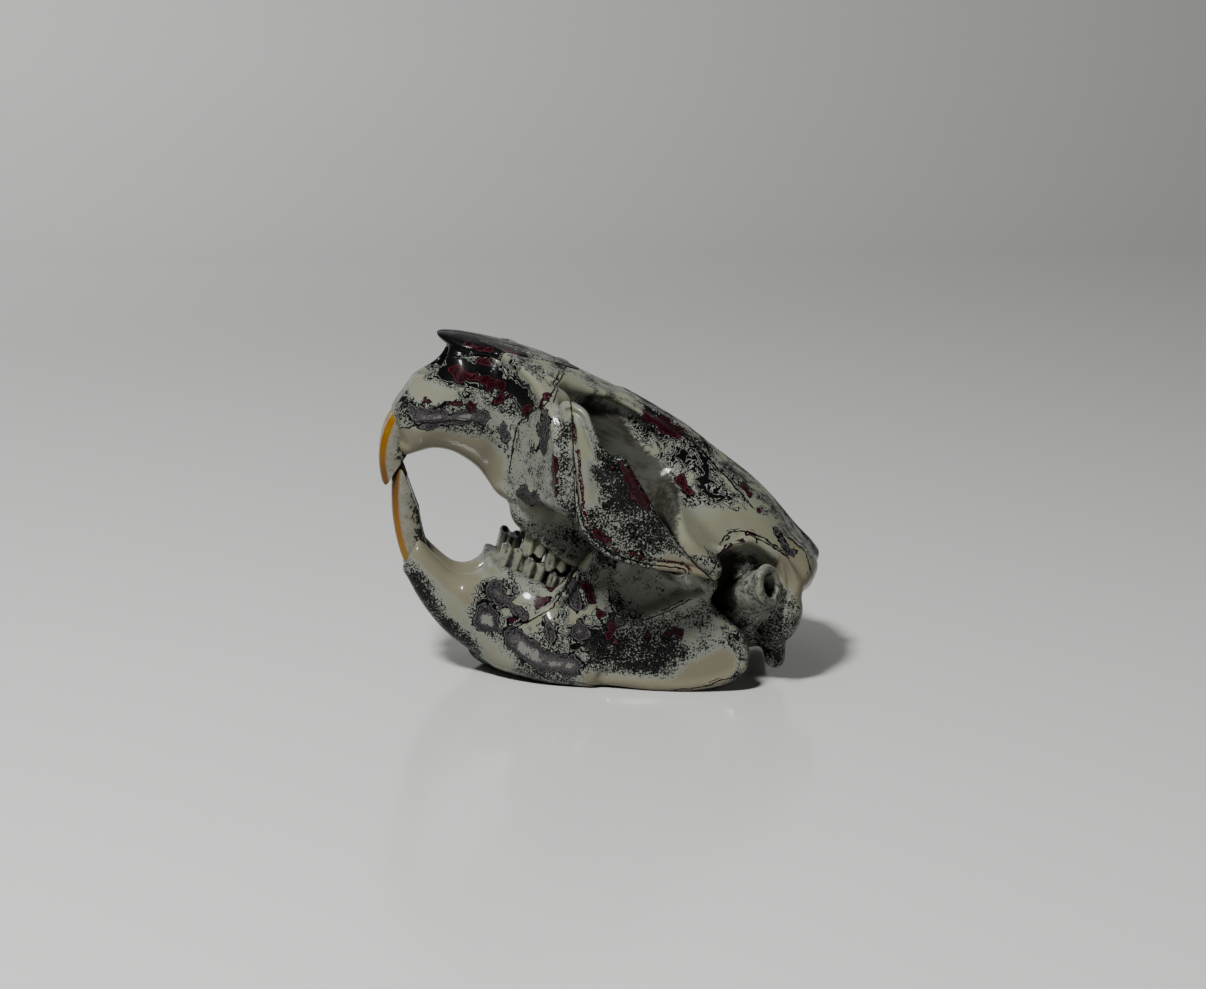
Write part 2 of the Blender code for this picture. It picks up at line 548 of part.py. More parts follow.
def bone_object(name, field, g, mirrored, faces):
    points, squares = surface(field, g, mirrored)
    obj = mesh_from(name, points.tolist(), squares.tolist())
    thin = obj.modifiers.new("thin out", "DECIMATE")
    thin.ratio = min(1.0, faces / (2 * len(squares)))
    thin.use_symmetry = mirrored
    thin.symmetry_axis = "Y"
    apply_modifiers(obj)
    return obj


def mirror_copy(obj, name):
    other = bpy.data.objects.new(name, obj.data.copy())
    bpy.context.scene.collection.objects.link(other)
    other.data.transform(Matrix.Scale(-1, 4, (0, 1, 0)))
    other.data.flip_normals()
    return other


def tooth_row(root, front, side):
    """The cheek teeth of one side, from the height of their roots to the chewing surface."""
    teeth = []
    for i in range(CHEEK_TEETH):
        x = front - (i + 0.5) * TOOTH_PITCH
        y, bite = (float(along(np.array([x]), line)[0]) for line in (ROW_MIDDLE, BITE))
        worn = bite + math.copysign(BITE_GAP / 2, root - bite)
        teeth.append(cheek_tooth(f"cheek tooth {i}", (x, y), max(root, worn), min(root, worn), side))
    return teeth


def cut_floor(obj, level):
    """Wears the lowest points flat at one level."""
    work = bmesh.new()
    work.from_mesh(obj.data)
    geometry = work.verts[:] + work.edges[:] + work.faces[:]
    cut = bmesh.ops.bisect_plane(work, geom=geometry, dist=1e-7, plane_co=(0, 0, level), plane_no=(0, 0, -1),
                                 clear_outer=True)
    rims = [e for e in cut["geom_cut"] if isinstance(e, bmesh.types.BMEdge)]
    bmesh.ops.holes_fill(work, edges=rims)
    work.to_mesh(obj.data)
    work.free()


# The cheekbone seen from the side, between its two sutures
CHEEKBONE_PART = [(30.5, 50), (27.5, 45.5), (22.2, 36), (17.2, 27), (12.5, 19), (10, 12), (-34, 12), (-34, 22.2),
                  (-30, 22.9), (-20, 25.6), (-9.6, 30.0), (-6.0, 36), (8, 50), (26, 60)]
CHEEKBONE_INNER = 32.5
# The nasal bones, x: (how far their side sutures stand out, how deep they go)
NASAL_PART = {
    72: (16, 37.5), 62.5: (16, 40.2), 60.4: (16, 41.3), 51.4: (15, 46.2), 47: (11.6, 46.8), 44: (10.6, 47.2),
    36.5: (7.4, 48.6), 30: (4.2, 50), 26.5: (1.2, 51),
}


def cheekbone_body(side, grow=0.0):
    """The space that one cheekbone takes up. grow makes the gap round it."""
    points = np.array(CHEEKBONE_PART)
    before, after = points - np.roll(points, 1, 0), np.roll(points, -1, 0) - points
    before /= np.linalg.norm(before, axis=1)[:, None]
    after /= np.linalg.norm(after, axis=1)[:, None]
    turn = before + after
    outward = np.stack([-turn[:, 1], turn[:, 0]], 1) / np.linalg.norm(turn, axis=1)[:, None]
    points = points + grow * outward
    rings = [[(x, side * y, z) for x, z in points] for y in (CHEEKBONE_INNER - grow, 60)]
    return stack("cheekbone space", rings)


def nasal_body(inner, grow=0.0):
    """The space that a nasal bone takes up, or both of them where inner is None."""
    rings = []
    for x, (out, floor) in NASAL_PART.items():
        out, floor = out + grow, floor - grow
        near = -out if inner is None else inner
        rings.append([(x, near, floor), (x, out, floor), (x, out, 75), (x, near, 75)])
    last = rings[-1]
    rings.append([(x - grow, y, z) for x, y, z in last])
    return stack("nasal space", rings)


def part_from(whole, name, body):
    """The part of a bone inside a body."""
    obj = bpy.data.objects.new(name, whole.data.copy())
    bpy.context.scene.collection.objects.link(obj)
    combine(obj, [body], "INTERSECT")
    return obj


def bone_material(name, colour, roughness):
    material = bpy.data.materials.new(name)
    material.use_nodes = True
    shader = material.node_tree.nodes["Principled BSDF"]
    shader.inputs["Base Color"].default_value = (*colour, 1)
    shader.inputs["Roughness"].default_value = roughness
    return material


def main():
    for obj in list(bpy.data.objects):
        bpy.data.objects.remove(obj)
    g = Lattice((-66, CRANIUM_CELL / 2, 2), (76, 50, 60), CRANIUM_CELL)
    cranium = bone_object("cranium", cranium_field(g), g, True, CRANIUM_FACES)
    g = Lattice((-54, -1, -36), (50, 38, 38), JAW_CELL)
    jaw = bone_object("mandible_left", jaw_field(g), g, False, JAW_FACES)

    # Cheek teeth, sunk into the bones that they grow from
    upper = [t for side in (1, -1) for t in tooth_row(UPPER_ROOTS, UPPER_ROW_FRONT, side)]
    combine(cranium, upper, "UNION")
    combine(jaw, tooth_row(LOWER_ROOTS, LOWER_ROW_FRONT, 1), "UNION")

    # Incisors and their sockets
    teeth = {}
    for level, arc, section, tip in (("upper", UPPER_ARC, UPPER_SECTION, UPPER_TIP),
                                     ("lower", LOWER_ARC, LOWER_SECTION, LOWER_TIP)):
        for side, word in ((1, "left"), (-1, "right")):
            teeth[f"{level}_incisor_{word}"] = incisor(f"{level}_incisor_{word}", arc, section, tip, side)
    sockets = [incisor("socket", UPPER_ARC, UPPER_SECTION, UPPER_TIP, side, SUTURE) for side in (1, -1)]
    combine(cranium, sockets + [ear_drill(1), ear_drill(-1)], "DIFFERENCE")
    combine(jaw, [incisor("socket", LOWER_ARC, LOWER_SECTION, LOWER_TIP, 1, SUTURE)], "DIFFERENCE")

    cheekbone = part_from(cranium, "cheekbone_left", cheekbone_body(1))
    nasal = part_from(cranium, "nasal_left", nasal_body(SUTURE / 2))
    gaps = [cheekbone_body(1, SUTURE), cheekbone_body(-1, SUTURE), nasal_body(None, SUTURE)]
    combine(cranium, gaps, "DIFFERENCE")
    for obj in (cranium, jaw, cheekbone, nasal):
        keep_largest(obj)
    bones = [cranium, jaw, cheekbone, nasal]
    bones += [mirror_copy(obj, obj.name.replace("left", "right")) for obj in (jaw, cheekbone, nasal)]
    pose = Matrix.Rotation(-REST_PITCH, 4, "Y")
    for obj in bones + list(teeth.values()):
        obj.data.transform(pose)
    corners = [v.co for obj in bones + list(teeth.values()) for v in obj.data.vertices]
    floor = min(p.z for p in corners) + FLAT * MM
    middle = (min(p.x for p in corners) + max(p.x for p in corners)) / 2
    for obj in bones + list(teeth.values()):
        if obj.name.startswith("mandible"):
            cut_floor(obj, floor)
        obj.data.transform(Matrix.Translation((-middle, 0, -floor)))

    bone = bone_material("lacquered bone", (0.52, 0.50, 0.42), 0.3)
    enamel = bone_material("tooth", (0.85, 0.55, 0.2), 0.3)
    for obj in bones:
        obj.data.materials.append(bone)
    for obj in teeth.values():
        obj.data.materials.append(enamel)


main()
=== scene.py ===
# %% [markdown]
# # A beaver skull under sanded lacquer
# The object is a life-size beaver skull with its lower jaw closed. It is tipped back so that it rests on
# the jaw. The bone carries many thin coats of lacquer, cream, black, dark red and grey, that were sanded
# through again, so each coat shows as an island or a ring. Only the teeth are left bare.
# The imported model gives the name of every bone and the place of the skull, so the script starts from it.

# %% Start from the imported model
import functools
import math

import bmesh
import bpy
import numpy as np
from mathutils import Matrix, Vector


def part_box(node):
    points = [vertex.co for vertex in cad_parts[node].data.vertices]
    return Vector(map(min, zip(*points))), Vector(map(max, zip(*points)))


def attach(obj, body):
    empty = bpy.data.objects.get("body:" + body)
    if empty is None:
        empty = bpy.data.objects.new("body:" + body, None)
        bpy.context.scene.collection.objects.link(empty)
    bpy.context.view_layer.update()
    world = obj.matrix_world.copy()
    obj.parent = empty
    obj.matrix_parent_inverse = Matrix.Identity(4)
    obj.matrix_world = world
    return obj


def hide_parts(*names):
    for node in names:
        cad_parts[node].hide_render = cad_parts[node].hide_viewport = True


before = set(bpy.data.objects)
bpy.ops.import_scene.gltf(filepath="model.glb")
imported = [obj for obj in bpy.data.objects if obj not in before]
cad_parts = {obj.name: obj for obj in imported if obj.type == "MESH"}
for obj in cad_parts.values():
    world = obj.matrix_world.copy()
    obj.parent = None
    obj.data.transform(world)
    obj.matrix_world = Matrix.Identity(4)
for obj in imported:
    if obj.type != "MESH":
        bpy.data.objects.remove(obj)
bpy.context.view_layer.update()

print("nodes:", ", ".join(sorted(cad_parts)))

# %% [markdown]
# ## The skull's own frame
# Bones are easiest to draw with the chewing surface level: +X to the snout, +Y to the skull's left and
# +Z up, in millimetres. The finished pieces are then tipped back onto the jaw, as the model's are. One
# upper incisor is enough to find how far the tipped frame has moved, so its shape comes first.

# %% Millimetres and the resting pose
MM = 0.001
REST_PITCH = math.radians(28.0)
SUTURE = 0.3


def tipped(points):
    """Points of the skull's frame, turned as the skull rests, still in millimetres."""
    p = np.asarray(points, np.float64)
    c, s = math.cos(REST_PITCH), math.sin(REST_PITCH)
    return np.stack([p[:, 0] * c - p[:, 2] * s, p[:, 1], p[:, 0] * s + p[:, 2] * c], 1)


print("a point 60 mm ahead rises", round(float(tipped([(60, 0, 0)])[0, 2]), 1), "mm")

# %% [markdown]
# ## Curves through a few sizes
# Most sizes of a bone change smoothly along it. Naming the size at a few stations and running a smooth
# curve through them keeps each form easy to read and to change.

# %% Smooth curves
def along(at, stations):
    """A smooth curve through a few stations {place: value}, read at the places given."""
    places = np.array(sorted(stations), np.float64)
    values = np.array([stations[p] for p in sorted(stations)], np.float64)
    steps = np.diff(values) / np.diff(places)
    slopes = np.concatenate([steps[:1], (steps[1:] + steps[:-1]) / 2, steps[-1:]])
    slopes[1:-1][steps[1:] * steps[:-1] <= 0] = 0
    at = np.clip(at, places[0], places[-1])
    i = np.clip(np.searchsorted(places, at, side="right") - 1, 0, len(places) - 2)
    width = places[i + 1] - places[i]
    t = (at - places[i]) / width
    rise = values[i + 1] - values[i]
    a = slopes[i] * width - rise
    b = -slopes[i + 1] * width + rise
    return (values[i] + t * rise + t * (1 - t) * (a * (1 - t) + b * t)).astype(np.float32)


def closed_curve(points, steps=5):
    """A closed curve through the points, as a fine ring."""
    p = np.array(points, np.float64)
    before, after, beyond = np.roll(p, 1, 0), np.roll(p, -1, 0), np.roll(p, -2, 0)
    ring = []
    for t in np.arange(steps) / steps:
        ring.append(
            0.5 * (2 * p + (after - before) * t + (2 * before - 5 * p + 4 * after - beyond) * t**2
                   + (3 * p - before - 3 * after + beyond) * t**3)
        )
    return np.stack(ring, 1).reshape(-1, 2)


print("curve check:", [round(float(v), 2) for v in along(np.array([0.5, 1.5]), {0: 0, 1: 1, 2: 4})])

# %% [markdown]
# ## Front teeth
# A beaver's front tooth grows in an arc of a circle all its life. So it is one section swept round an
# arc, and it ends at a different angle for each depth, which gives the chisel edge. Orange enamel covers
# only the front. The depth behind the front is kept on each point, so that the finish can tell enamel
# from dentine.

# %% Sizes of the front teeth
# A section, (depth behind the front, distance from the midline), in millimetres
UPPER_SECTION = [(1.0, 0.2), (0.15, 1.2), (0, 4.0), (0.3, 6.6), (1.4, 7.9), (3.6, 8.0), (6.0, 7.0),
                 (7.6, 5.2), (7.8, 3.2), (6.0, 0.9), (3.6, 0.2)]
LOWER_SECTION = [(0.9, 0.2), (0.1, 1.1), (0, 3.6), (0.3, 5.8), (1.4, 7.0), (3.4, 7.1), (5.6, 6.2),
                 (7.2, 4.6), (7.4, 2.8), (5.6, 0.8), (3.2, 0.2)]
# Each front edge is an arc: centre x, centre z, radius, angle at the root in degrees
UPPER_ARC = (43.1, 17.7, 24.5, 24.0)
LOWER_ARC = (8.5, 23.5, 54.5, -62.0)
# Where the worn tip ends, by the distance from the arc's centre
UPPER_TIP = {24.5: -42.6, 23.7: -45.0, 21.7: -41.2, 19.1: -34.0, 17.6: -29.0, 16.5: -24.0}
LOWER_TIP = {54.5: -23.1, 52.4: -18.7, 49.9: -23.4, 48.0: -29.2, 46.7: -34.0}
# The root tapers: how much of the section it starts with, and the part of the length that it takes
ROOT_SIZE = 0.74
ROOT_PART = 0.45


def incisor_rings(arc, section, tip, side, steps):
    """Rings of points round an incisor, and the depth behind the front of each point."""
    cx, cz, radius, root = arc
    middle = np.mean(np.array(section), 0)
    rings, depths = [], []
    for k in range(steps):
        t = k / (steps - 1)
        shrink = ROOT_SIZE + (1 - ROOT_SIZE) * min(1.0, t / ROOT_PART)
        ring = []
        for depth, out in section:
            away = (np.array((depth, out)) - middle) * shrink
            r = radius - middle[0] - away[0]
            end = float(along(np.array([r]), tip)[0])
            angle = math.radians(root + (end - root) * t)
            ring.append((cx + r * math.cos(angle), side * (middle[1] + away[1]), cz + r * math.sin(angle)))
            depths.append((depth, t))
        rings.append(ring)
    return rings, depths


print("radii of the front teeth:", UPPER_ARC[2], "and", LOWER_ARC[2], "mm")

# %% Where the tipped frame lies
coarse, _ = incisor_rings(UPPER_ARC, UPPER_SECTION, UPPER_TIP, 1, 11)
corner = tipped([p for ring in coarse for p in ring]).min(0)
REST_SHIFT = np.array(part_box("upper_incisor_left")[0]) / MM - corner
print("the skull's origin rests at", REST_SHIFT.round(3), "mm")


def placed(points):
    """Points of the skull's frame in the model's frame, in metres."""
    return (tipped(points) + REST_SHIFT) * MM

# %% [markdown]
# ## Bone as a field of distances
# Bone has no flat faces or straight edges. Every form swells or fades into the next, which is slow to
# model face by face. A field of distances does it well: each point of space holds its distance to the
# bone, negative inside. Two forms join with a soft fillet by one formula, a hollow is carved in the same
# way, and the surface is drawn once at the end.

# %% The lattice and the ways to combine
class Lattice:
    """The sample points round one bone, held as three open axes."""

    def __init__(self, low, high, cell):
        self.low = np.array(low, np.float32)
        self.cell = cell
        axes = [np.arange(a, b + cell, cell, dtype=np.float32) for a, b in zip(low, high)]
        self.x = axes[0][:, None, None]
        self.y = axes[1][None, :, None]
        self.z = axes[2][None, None, :]


def join(a, b, soft):
    """The union of two fields, with a fillet of about that size between them."""
    near = np.maximum(soft - np.abs(a - b), 0)
    return np.minimum(a, b) - near * near / (4 * soft)


def carve(a, b, soft):
    """Field a with b taken away."""
    return -join(-a, b, soft)


def overlap(a, b, soft):
    """What is in both fields."""
    return -join(-a, -b, soft)


print("where two surfaces cross, a fillet of 4 mm adds", -join(0, 0, 4), "mm")

# %% Simple forms
def ellipsoid(g, centre, radii):
    """About the distance to an ellipsoid, negative inside it."""
    away = [v - c for v, c in zip((g.x, g.y, g.z), centre)]
    near = np.sqrt(sum((d / r) ** 2 for d, r in zip(away, radii)))
    steep = np.sqrt(sum((d / r**2) ** 2 for d, r in zip(away, radii)))
    return near * (near - 1) / np.maximum(steep, 1e-6)


def rod(g, a, b, ra, rb):
    """A round rod from a to b."""
    a, b = np.array(a, np.float32), np.array(b, np.float32)
    d = b - a
    px, py, pz = g.x - a[0], g.y - a[1], g.z - a[2]
    t = np.clip((px * d[0] + py * d[1] + pz * d[2]) / float(d @ d), 0, 1)
    away = np.sqrt((px - t * d[0]) ** 2 + (py - t * d[1]) ** 2 + (pz - t * d[2]) ** 2)
    return away - (ra + (rb - ra) * t)


def chain(g, points, radii):
    """Rods end to end."""
    stops = list(zip(points, radii))
    return functools.reduce(np.minimum, (rod(g, a, b, ra, rb) for (a, ra), (b, rb) in zip(stops, stops[1:])))


def soft_ridge(at, middle, width):
    """1 along the middle, fading to 0 on both sides of it."""
    return np.exp(-(((at - middle) / width) ** 2))


def soft_step(at, edge, width):
    """A soft step up at the edge, from 0 to 1, or down where the width is negative."""
    return 1 / (1 + np.exp(np.clip((edge - at) / width, -30, 30)))


def bump(g, centre, radii):
    """One soft swelling, 1 in its middle and 0 far away."""
    dx, dy, dz = ((v - c) / r for v, c, r in zip((g.x, g.y, g.z), centre, radii))
    return np.exp(-(dx * dx + dy * dy + dz * dz))


print("in the middle of a bump it is", bump(Lattice((0, 0, 0), (0, 0, 0), 1), (0, 0, 0), (1, 1, 1)).item())

# %% Outlines and trunks
def outline(points, u, v, steps=5):
    """Distance to a closed outline in a plane, negative inside it."""
    ring = closed_curve(points, steps)
    best = None
    inside = None
    for a, b in zip(ring, np.roll(ring, -1, 0)):
        d = b - a
        t = np.clip(((u - a[0]) * d[0] + (v - a[1]) * d[1]) / max(d @ d, 1e-9), 0, 1)
        away = (u - a[0] - t * d[0]) ** 2 + (v - a[1] - t * d[1]) ** 2
        rise = d[1] if abs(d[1]) > 1e-9 else 1e-9
        crossed = ((a[1] > v) != (b[1] > v)) & (u < d[0] * (v - a[1]) / rise + a[0])
        best = away if best is None else np.minimum(best, away)
        inside = crossed if inside is None else inside ^ crossed
    return np.where(inside, -np.sqrt(best), np.sqrt(best)).astype(np.float32)


def trunk(g, stations, middle=0):
    """A form along X with rounded sections. Each station is x: (top, bottom, half width, fullness)."""
    top, bottom, wide, full = (along(g.x, {x: s[i] for x, s in stations.items()}) for i in range(4))
    centre, tall = (top + bottom) / 2, (top - bottom) / 2
    across = np.abs(g.y - middle) / wide
    up = np.abs(g.z - centre) / tall
    r = np.maximum((across**full + up**full) ** (1 / full), 1e-4)
    slope = np.hypot((across / r) ** (full - 1) / wide, (up / r) ** (full - 1) / tall)
    ends = np.maximum(g.x - max(stations), min(stations) - g.x)
    return overlap((r - 1) / np.maximum(slope, 1e-4), ends, 1.5)


one_point = Lattice((0, 3, 0), (0, 3, 0), 1)
off_trunk = trunk(one_point, {-5: (1, -1, 1, 2.0), 5: (1, -1, 1, 2.0)}).item()
print("3 mm from the middle of a trunk of radius 1 mm the field is", round(off_trunk, 2), "mm")

# %% [markdown]
# ## From the field to a mesh
# Each lattice cell that the surface passes through gets one point, placed at the mean of the surface's
# crossings with the cell's edges, and neighbouring cells are joined in squares. That gives an even mesh
# of squares with no slivers, which shades smoothly. Where two sheets would meet in one cell the corner is
# filled first, so that the mesh stays one plain closed surface.

# %% Corners where two sheets meet
CORNERS = np.array([[i, j, k] for i in (0, 1) for j in (0, 1) for k in (0, 1)])
EDGES = [(a, b) for a in range(8) for b in range(a + 1, 8) if np.abs(CORNERS[a] - CORNERS[b]).sum() == 1]
JUST_INSIDE = -0.05
MOST_ROUNDS = 12


def moved(array, u, v, du, dv):
    """The array without its last layers along axes u and v, or without the first where du or dv is 1."""
    part = [slice(None)] * 3
    part[u] = slice(du, array.shape[u] - 1 + du)
    part[v] = slice(dv, array.shape[v] - 1 + dv)
    return array[tuple(part)]


def settle_saddles(field):
    """Fills the few corners where two sheets would meet in one cell."""
    for _ in range(MOST_ROUNDS):
        inside = field < 0
        fill = np.zeros_like(inside)
        for u, v in ((0, 1), (0, 2), (1, 2)):
            a, b, c, d = (moved(inside, u, v, *step) for step in ((0, 0), (1, 1), (1, 0), (0, 1)))
            moved(fill, u, v, 1, 0)[a & b & ~c & ~d] = True
            moved(fill, u, v, 0, 0)[c & d & ~a & ~b] = True
        if not fill.any():
            break
        field = np.where(fill, JUST_INSIDE, field)
    return field


print("a cell has", len(CORNERS), "corners and", len(EDGES), "edges")

# %% One point in each cell, joined in squares
def surface(field, g, mirrored):
    """The field's zero surface, one point for each cell that it passes through, joined in squares."""
    low = g.low.astype(np.float64).copy()
    if mirrored:
        field = np.concatenate([field[:, ::-1], field], 1)
        low[1] = -(field.shape[1] / 2 - 0.5) * g.cell
    field = settle_saddles(field)
    inside = field < 0
    cells = [inside[i : i - 1 or None, j : j - 1 or None, k : k - 1 or None] for i, j, k in CORNERS]
    some = np.logical_or.reduce(cells)
    every = np.logical_and.reduce(cells)
    where = np.argwhere(some & ~every)
    number = np.full(some.shape, -1, np.int64)
    number[tuple(where.T)] = np.arange(len(where))
    value = np.stack([field[tuple((where + c).T)] for c in CORNERS], 1)
    total = np.zeros((len(where), 3))
    count = np.zeros((len(where), 1))
    for a, b in EDGES:
        cut = (value[:, a] < 0) != (value[:, b] < 0)
        t = np.where(cut, value[:, a] / np.where(cut, value[:, a] - value[:, b], 1), 0)[:, None]
        total += np.where(cut[:, None], CORNERS[a] + t * (CORNERS[b] - CORNERS[a]), 0)
        count += cut[:, None]
    points = low + (where + total / count) * g.cell
    squares = []
    for axis in range(3):
        u, v = (axis + 1) % 3, (axis + 2) % 3
        here = [slice(None)] * 3
        there = [slice(None)] * 3
        here[axis], there[axis] = slice(0, -1), slice(1, None)
        start, end = inside[tuple(here)], inside[tuple(there)]
        for outward, flip in ((start & ~end, False), (~start & end, True)):
            at = np.argwhere(outward)
            at = at[(at[:, u] > 0) & (at[:, v] > 0)]
            corner = []
            for du, dv in ((0, 0), (1, 0), (1, 1), (0, 1)):
                cell = at.copy()
                cell[:, u] -= 1 - du
                cell[:, v] -= 1 - dv
                corner.append(number[tuple(cell.T)])
            face = np.stack(corner, 1)
            squares.append(face[:, ::-1] if flip else face)
    return points, np.concatenate(squares)

# %% Making an object of it
def in_scene(name, data):
    """A new object in the scene that shows the data."""
    obj = bpy.data.objects.new(name, data)
    bpy.context.scene.collection.objects.link(obj)
    return obj


def mesh_object(name, points, faces):
    """An object with its points in the frame and the unit that they are given in."""
    mesh = bpy.data.meshes.new(name)
    mesh.from_pydata(np.asarray(points).tolist(), [], faces)
    return in_scene(name, mesh)


def apply_modifiers(obj):
    """Turns the result of an object's modifiers into its plain mesh."""
    bpy.context.view_layer.update()
    mesh = bpy.data.meshes.new_from_object(obj.evaluated_get(bpy.context.evaluated_depsgraph_get()))
    obj.modifiers.clear()
    obj.data = mesh

# %% Making one bone of a field
def largest_piece(points, squares):
    """Only the largest connected surface, so that no crumb floats inside or beside the bone."""
    label = np.arange(len(points))
    while True:
        low = label[squares].min(1)
        after = label.copy()
        for k in range(4):
            np.minimum.at(after, squares[:, k], low)
        after = after[after]
        if (after == label).all():
            break
        label = after
    names, counts = np.unique(label, return_counts=True)
    keep = label == names[counts.argmax()]
    number = np.cumsum(keep) - 1
    return points[keep], number[squares[keep[squares[:, 0]]]]


MOST_TRIANGLES = 190000


def bone_mesh(name, field, g, mirrored=False, triangles=MOST_TRIANGLES):
    """One bone as a smooth mesh of at most that many triangles, still in the skull's frame."""
    points, squares = largest_piece(*surface(field, g, mirrored))
    obj = mesh_object(name, points, squares.tolist())
    if 2 * len(squares) > triangles:
        thin = obj.modifiers.new("thin out", "DECIMATE")
        thin.ratio = triangles / (2 * len(squares))
        apply_modifiers(obj)
    obj.data.shade_smooth()
    print(f"{name}: {len(squares)} squares, {len(obj.data.polygons)} faces kept")
    return obj

# %% [markdown]
# ## The cranium's main forms
# The side view fixes most of a skull, so the profile comes first, then the width of the trunk along it,
# then what is added: the frontal roof, the cheek arch with its broad front plate, the shelf over the
# jaw's joint, the ear tube, the crest and plate at the back. Most numbers are the model's own sizes. The
# orbit, its roof and the tooth block are drawn finer here.

# %% The profile and the trunk
SIDE_PROFILE = [
    (61.5, 50), (61.9, 41.6), (63.2, 36.4), (66.0, 32.9), (67.9, 30), (67.9, 26), (67.8, 20.3),
    (64, 15.0), (59.0, 10.2), (57.1, 13.0), (53.9, 15.9), (48.8, 17.9), (43.2, 17.7), (37.1, 16.1),
    (31.2, 13.8), (25, 11.6), (14, 10.0), (-6, 9.5), (-30, 10.5), (-48, 11), (-53, 13.5), (-56, 20),
    (-58.6, 27), (-59.2, 33.4), (-56.2, 37.4), (-50.9, 39.8), (-44.1, 40.7), (-36.1, 43.8), (-28.1, 46.9),
    (-16.9, 50.2), (-6.6, 51.9), (3, 52.4), (12.5, 52.4), (21.9, 52.1), (31.3, 51.8), (43.2, 50.2),
    (51.7, 48.5),
]
# Along the skull, x: (top, bottom, half width, fullness of the section)
SKULL_TRUNK = {
    72: (42, 15, 10.6, 2.2), 66: (45, 10, 13.2, 2.3), 60: (47, 9, 14.8, 2.4), 52: (49.2, 13.0, 15.6, 2.4),
    44: (50.5, 14.0, 15.6, 2.4), 36: (51.8, 12, 13.6, 2.5), 28: (52.2, 9.5, 10.8, 2.6),
    20: (52.3, 9, 9.8, 2.6), 10: (52.4, 9, 10.4, 2.6), 2: (52.2, 9, 12.0, 2.5), -6: (51.6, 10, 15.0, 2.4),
    -14: (50.6, 13, 19.4, 2.2), -22: (48.8, 12, 23.6, 2.3), -32: (45.6, 11, 25.3, 2.5),
    -42: (42.2, 11, 26.0, 2.6), -52: (40.2, 11, 26.0, 2.6), -60: (37.5, 12, 24.0, 2.6),
}
FRONTAL_ROOF = {
    44: (50.2, 44, 12.5, 3.0), 39: (51.2, 43, 17.0, 3.0), 34: (51.8, 43.5, 18.5, 3.0),
    29: (52.2, 46.0, 15.5, 3.0), 23: (52.4, 48.0, 13.2, 3.0), 16: (52.6, 50.4, 11.4, 3.0),
    9: (52.5, 50.0, 11.8, 3.0), 2: (52.1, 47.6, 12.4, 3.0), -6: (51.0, 42, 12.0, 2.6),
    -18: (47.5, 38, 10.0, 2.4),
}
NASAL_BONES = {
    66.4: (44.6, 43.5, 2.6, 2.0), 64: (45.7, 43.0, 6.6, 2.2), 60: (47.0, 42.6, 10.2, 2.4),
    55: (48.4, 43.4, 11.8, 2.6), 47: (50.2, 45.2, 11.6, 2.6), 40: (51.3, 47.0, 9.8, 2.6),
    33: (52.1, 49.0, 7.4, 2.4), 26: (52.5, 50.2, 4.0, 2.2),
}
BRAINCASE_HALF_WIDTH = 25.0
MASTOID_HALF_WIDTH = 31.0
# How far forward the front of the snout reaches, by height
SNOUT_FRONT = {14: 63.5, 20.3: 68.4, 26: 67.6, 30: 67.0, 33: 66.6, 36.4: 66.0, 41.6: 65.4, 50: 65.4}
SNOUT_ROUNDING = 0.042
# How far back the occiput's face stands, by height
OCCIPUT_FACE = {10: -47.4, 18.7: -50.2, 22.7: -51.6, 27: -53.4, 31: -54.9, 36: -54.0, 40: -50.5}
OCCIPUT_HALF = 3.0
# The middle line of a cheek-tooth row, x: distance from the skull's middle
ROW_MIDDLE = {26: 8.2, 10: 9.6, -6: 12.0, -14: 12.4}
print("the trunk has", len(SKULL_TRUNK), "stations")

# %% The cheek arch
CHEEKBONE_SIDE = [
    (31.4, 46.0), (27.4, 41.0), (21.9, 32.9), (16.8, 25.4), (13.2, 21.1), (8.2, 18.4), (1.9, 17.4),
    (-6.5, 18.7), (-16.9, 21.9), (-28.3, 24.6), (-29.0, 26.0), (-23.9, 27.2), (-17.0, 28.4),
    (-10.5, 30.0), (-5.5, 32.4), (0.3, 36.3), (6.0, 39.8), (11.0, 43.0), (13.6, 41.8), (17.4, 42.6),
    (21.8, 46.2), (25.1, 48.7), (29.6, 48.6),
]
ZYGOMATIC_FACE = [(9, 16), (15, 14.5), (22, 16.8), (29, 19.4), (36, 20.6), (41.0, 21.8), (43.4, 26),
                  (41.5, 35), (36.5, 43), (29, 47.0), (20, 49.0), (9, 46)]
# How far out the arch stands, along the skull and by height
ARCH_OUT = {36: 32.5, 30: 36.5, 23: 40.4, 15: 42.6, 6: 43.4, -4: 43.4, -14: 42.2, -24: 40.2, -32: 37.5}
ARCH_BOW = {15: 0.9, 21: 0.6, 30: -1.1, 39: -0.6, 50: 0.0}


def arch_middle(x, z):
    """How far out the cheek arch's mid surface stands, from the side."""
    return along(x, ARCH_OUT) + along(z, ARCH_BOW)


def zygomatic_plate(g):
    """The broad front face of the cheek arch, which slopes out and back from the snout."""
    middle = 34.8 + 0.5 * (g.z - 28) - 0.52 * (g.y - 15)
    middle = middle - 2.0 * np.clip(1 - ((g.y - 28) / 13) ** 2, 0, 1)
    face = outline(ZYGOMATIC_FACE, g.y, g.z)
    across = (np.abs(g.x - middle) - 2.3 - 0.5 * soft_ridge(face, -1.3, 1.0)) * 0.82
    return overlap(across, face, 1.8)


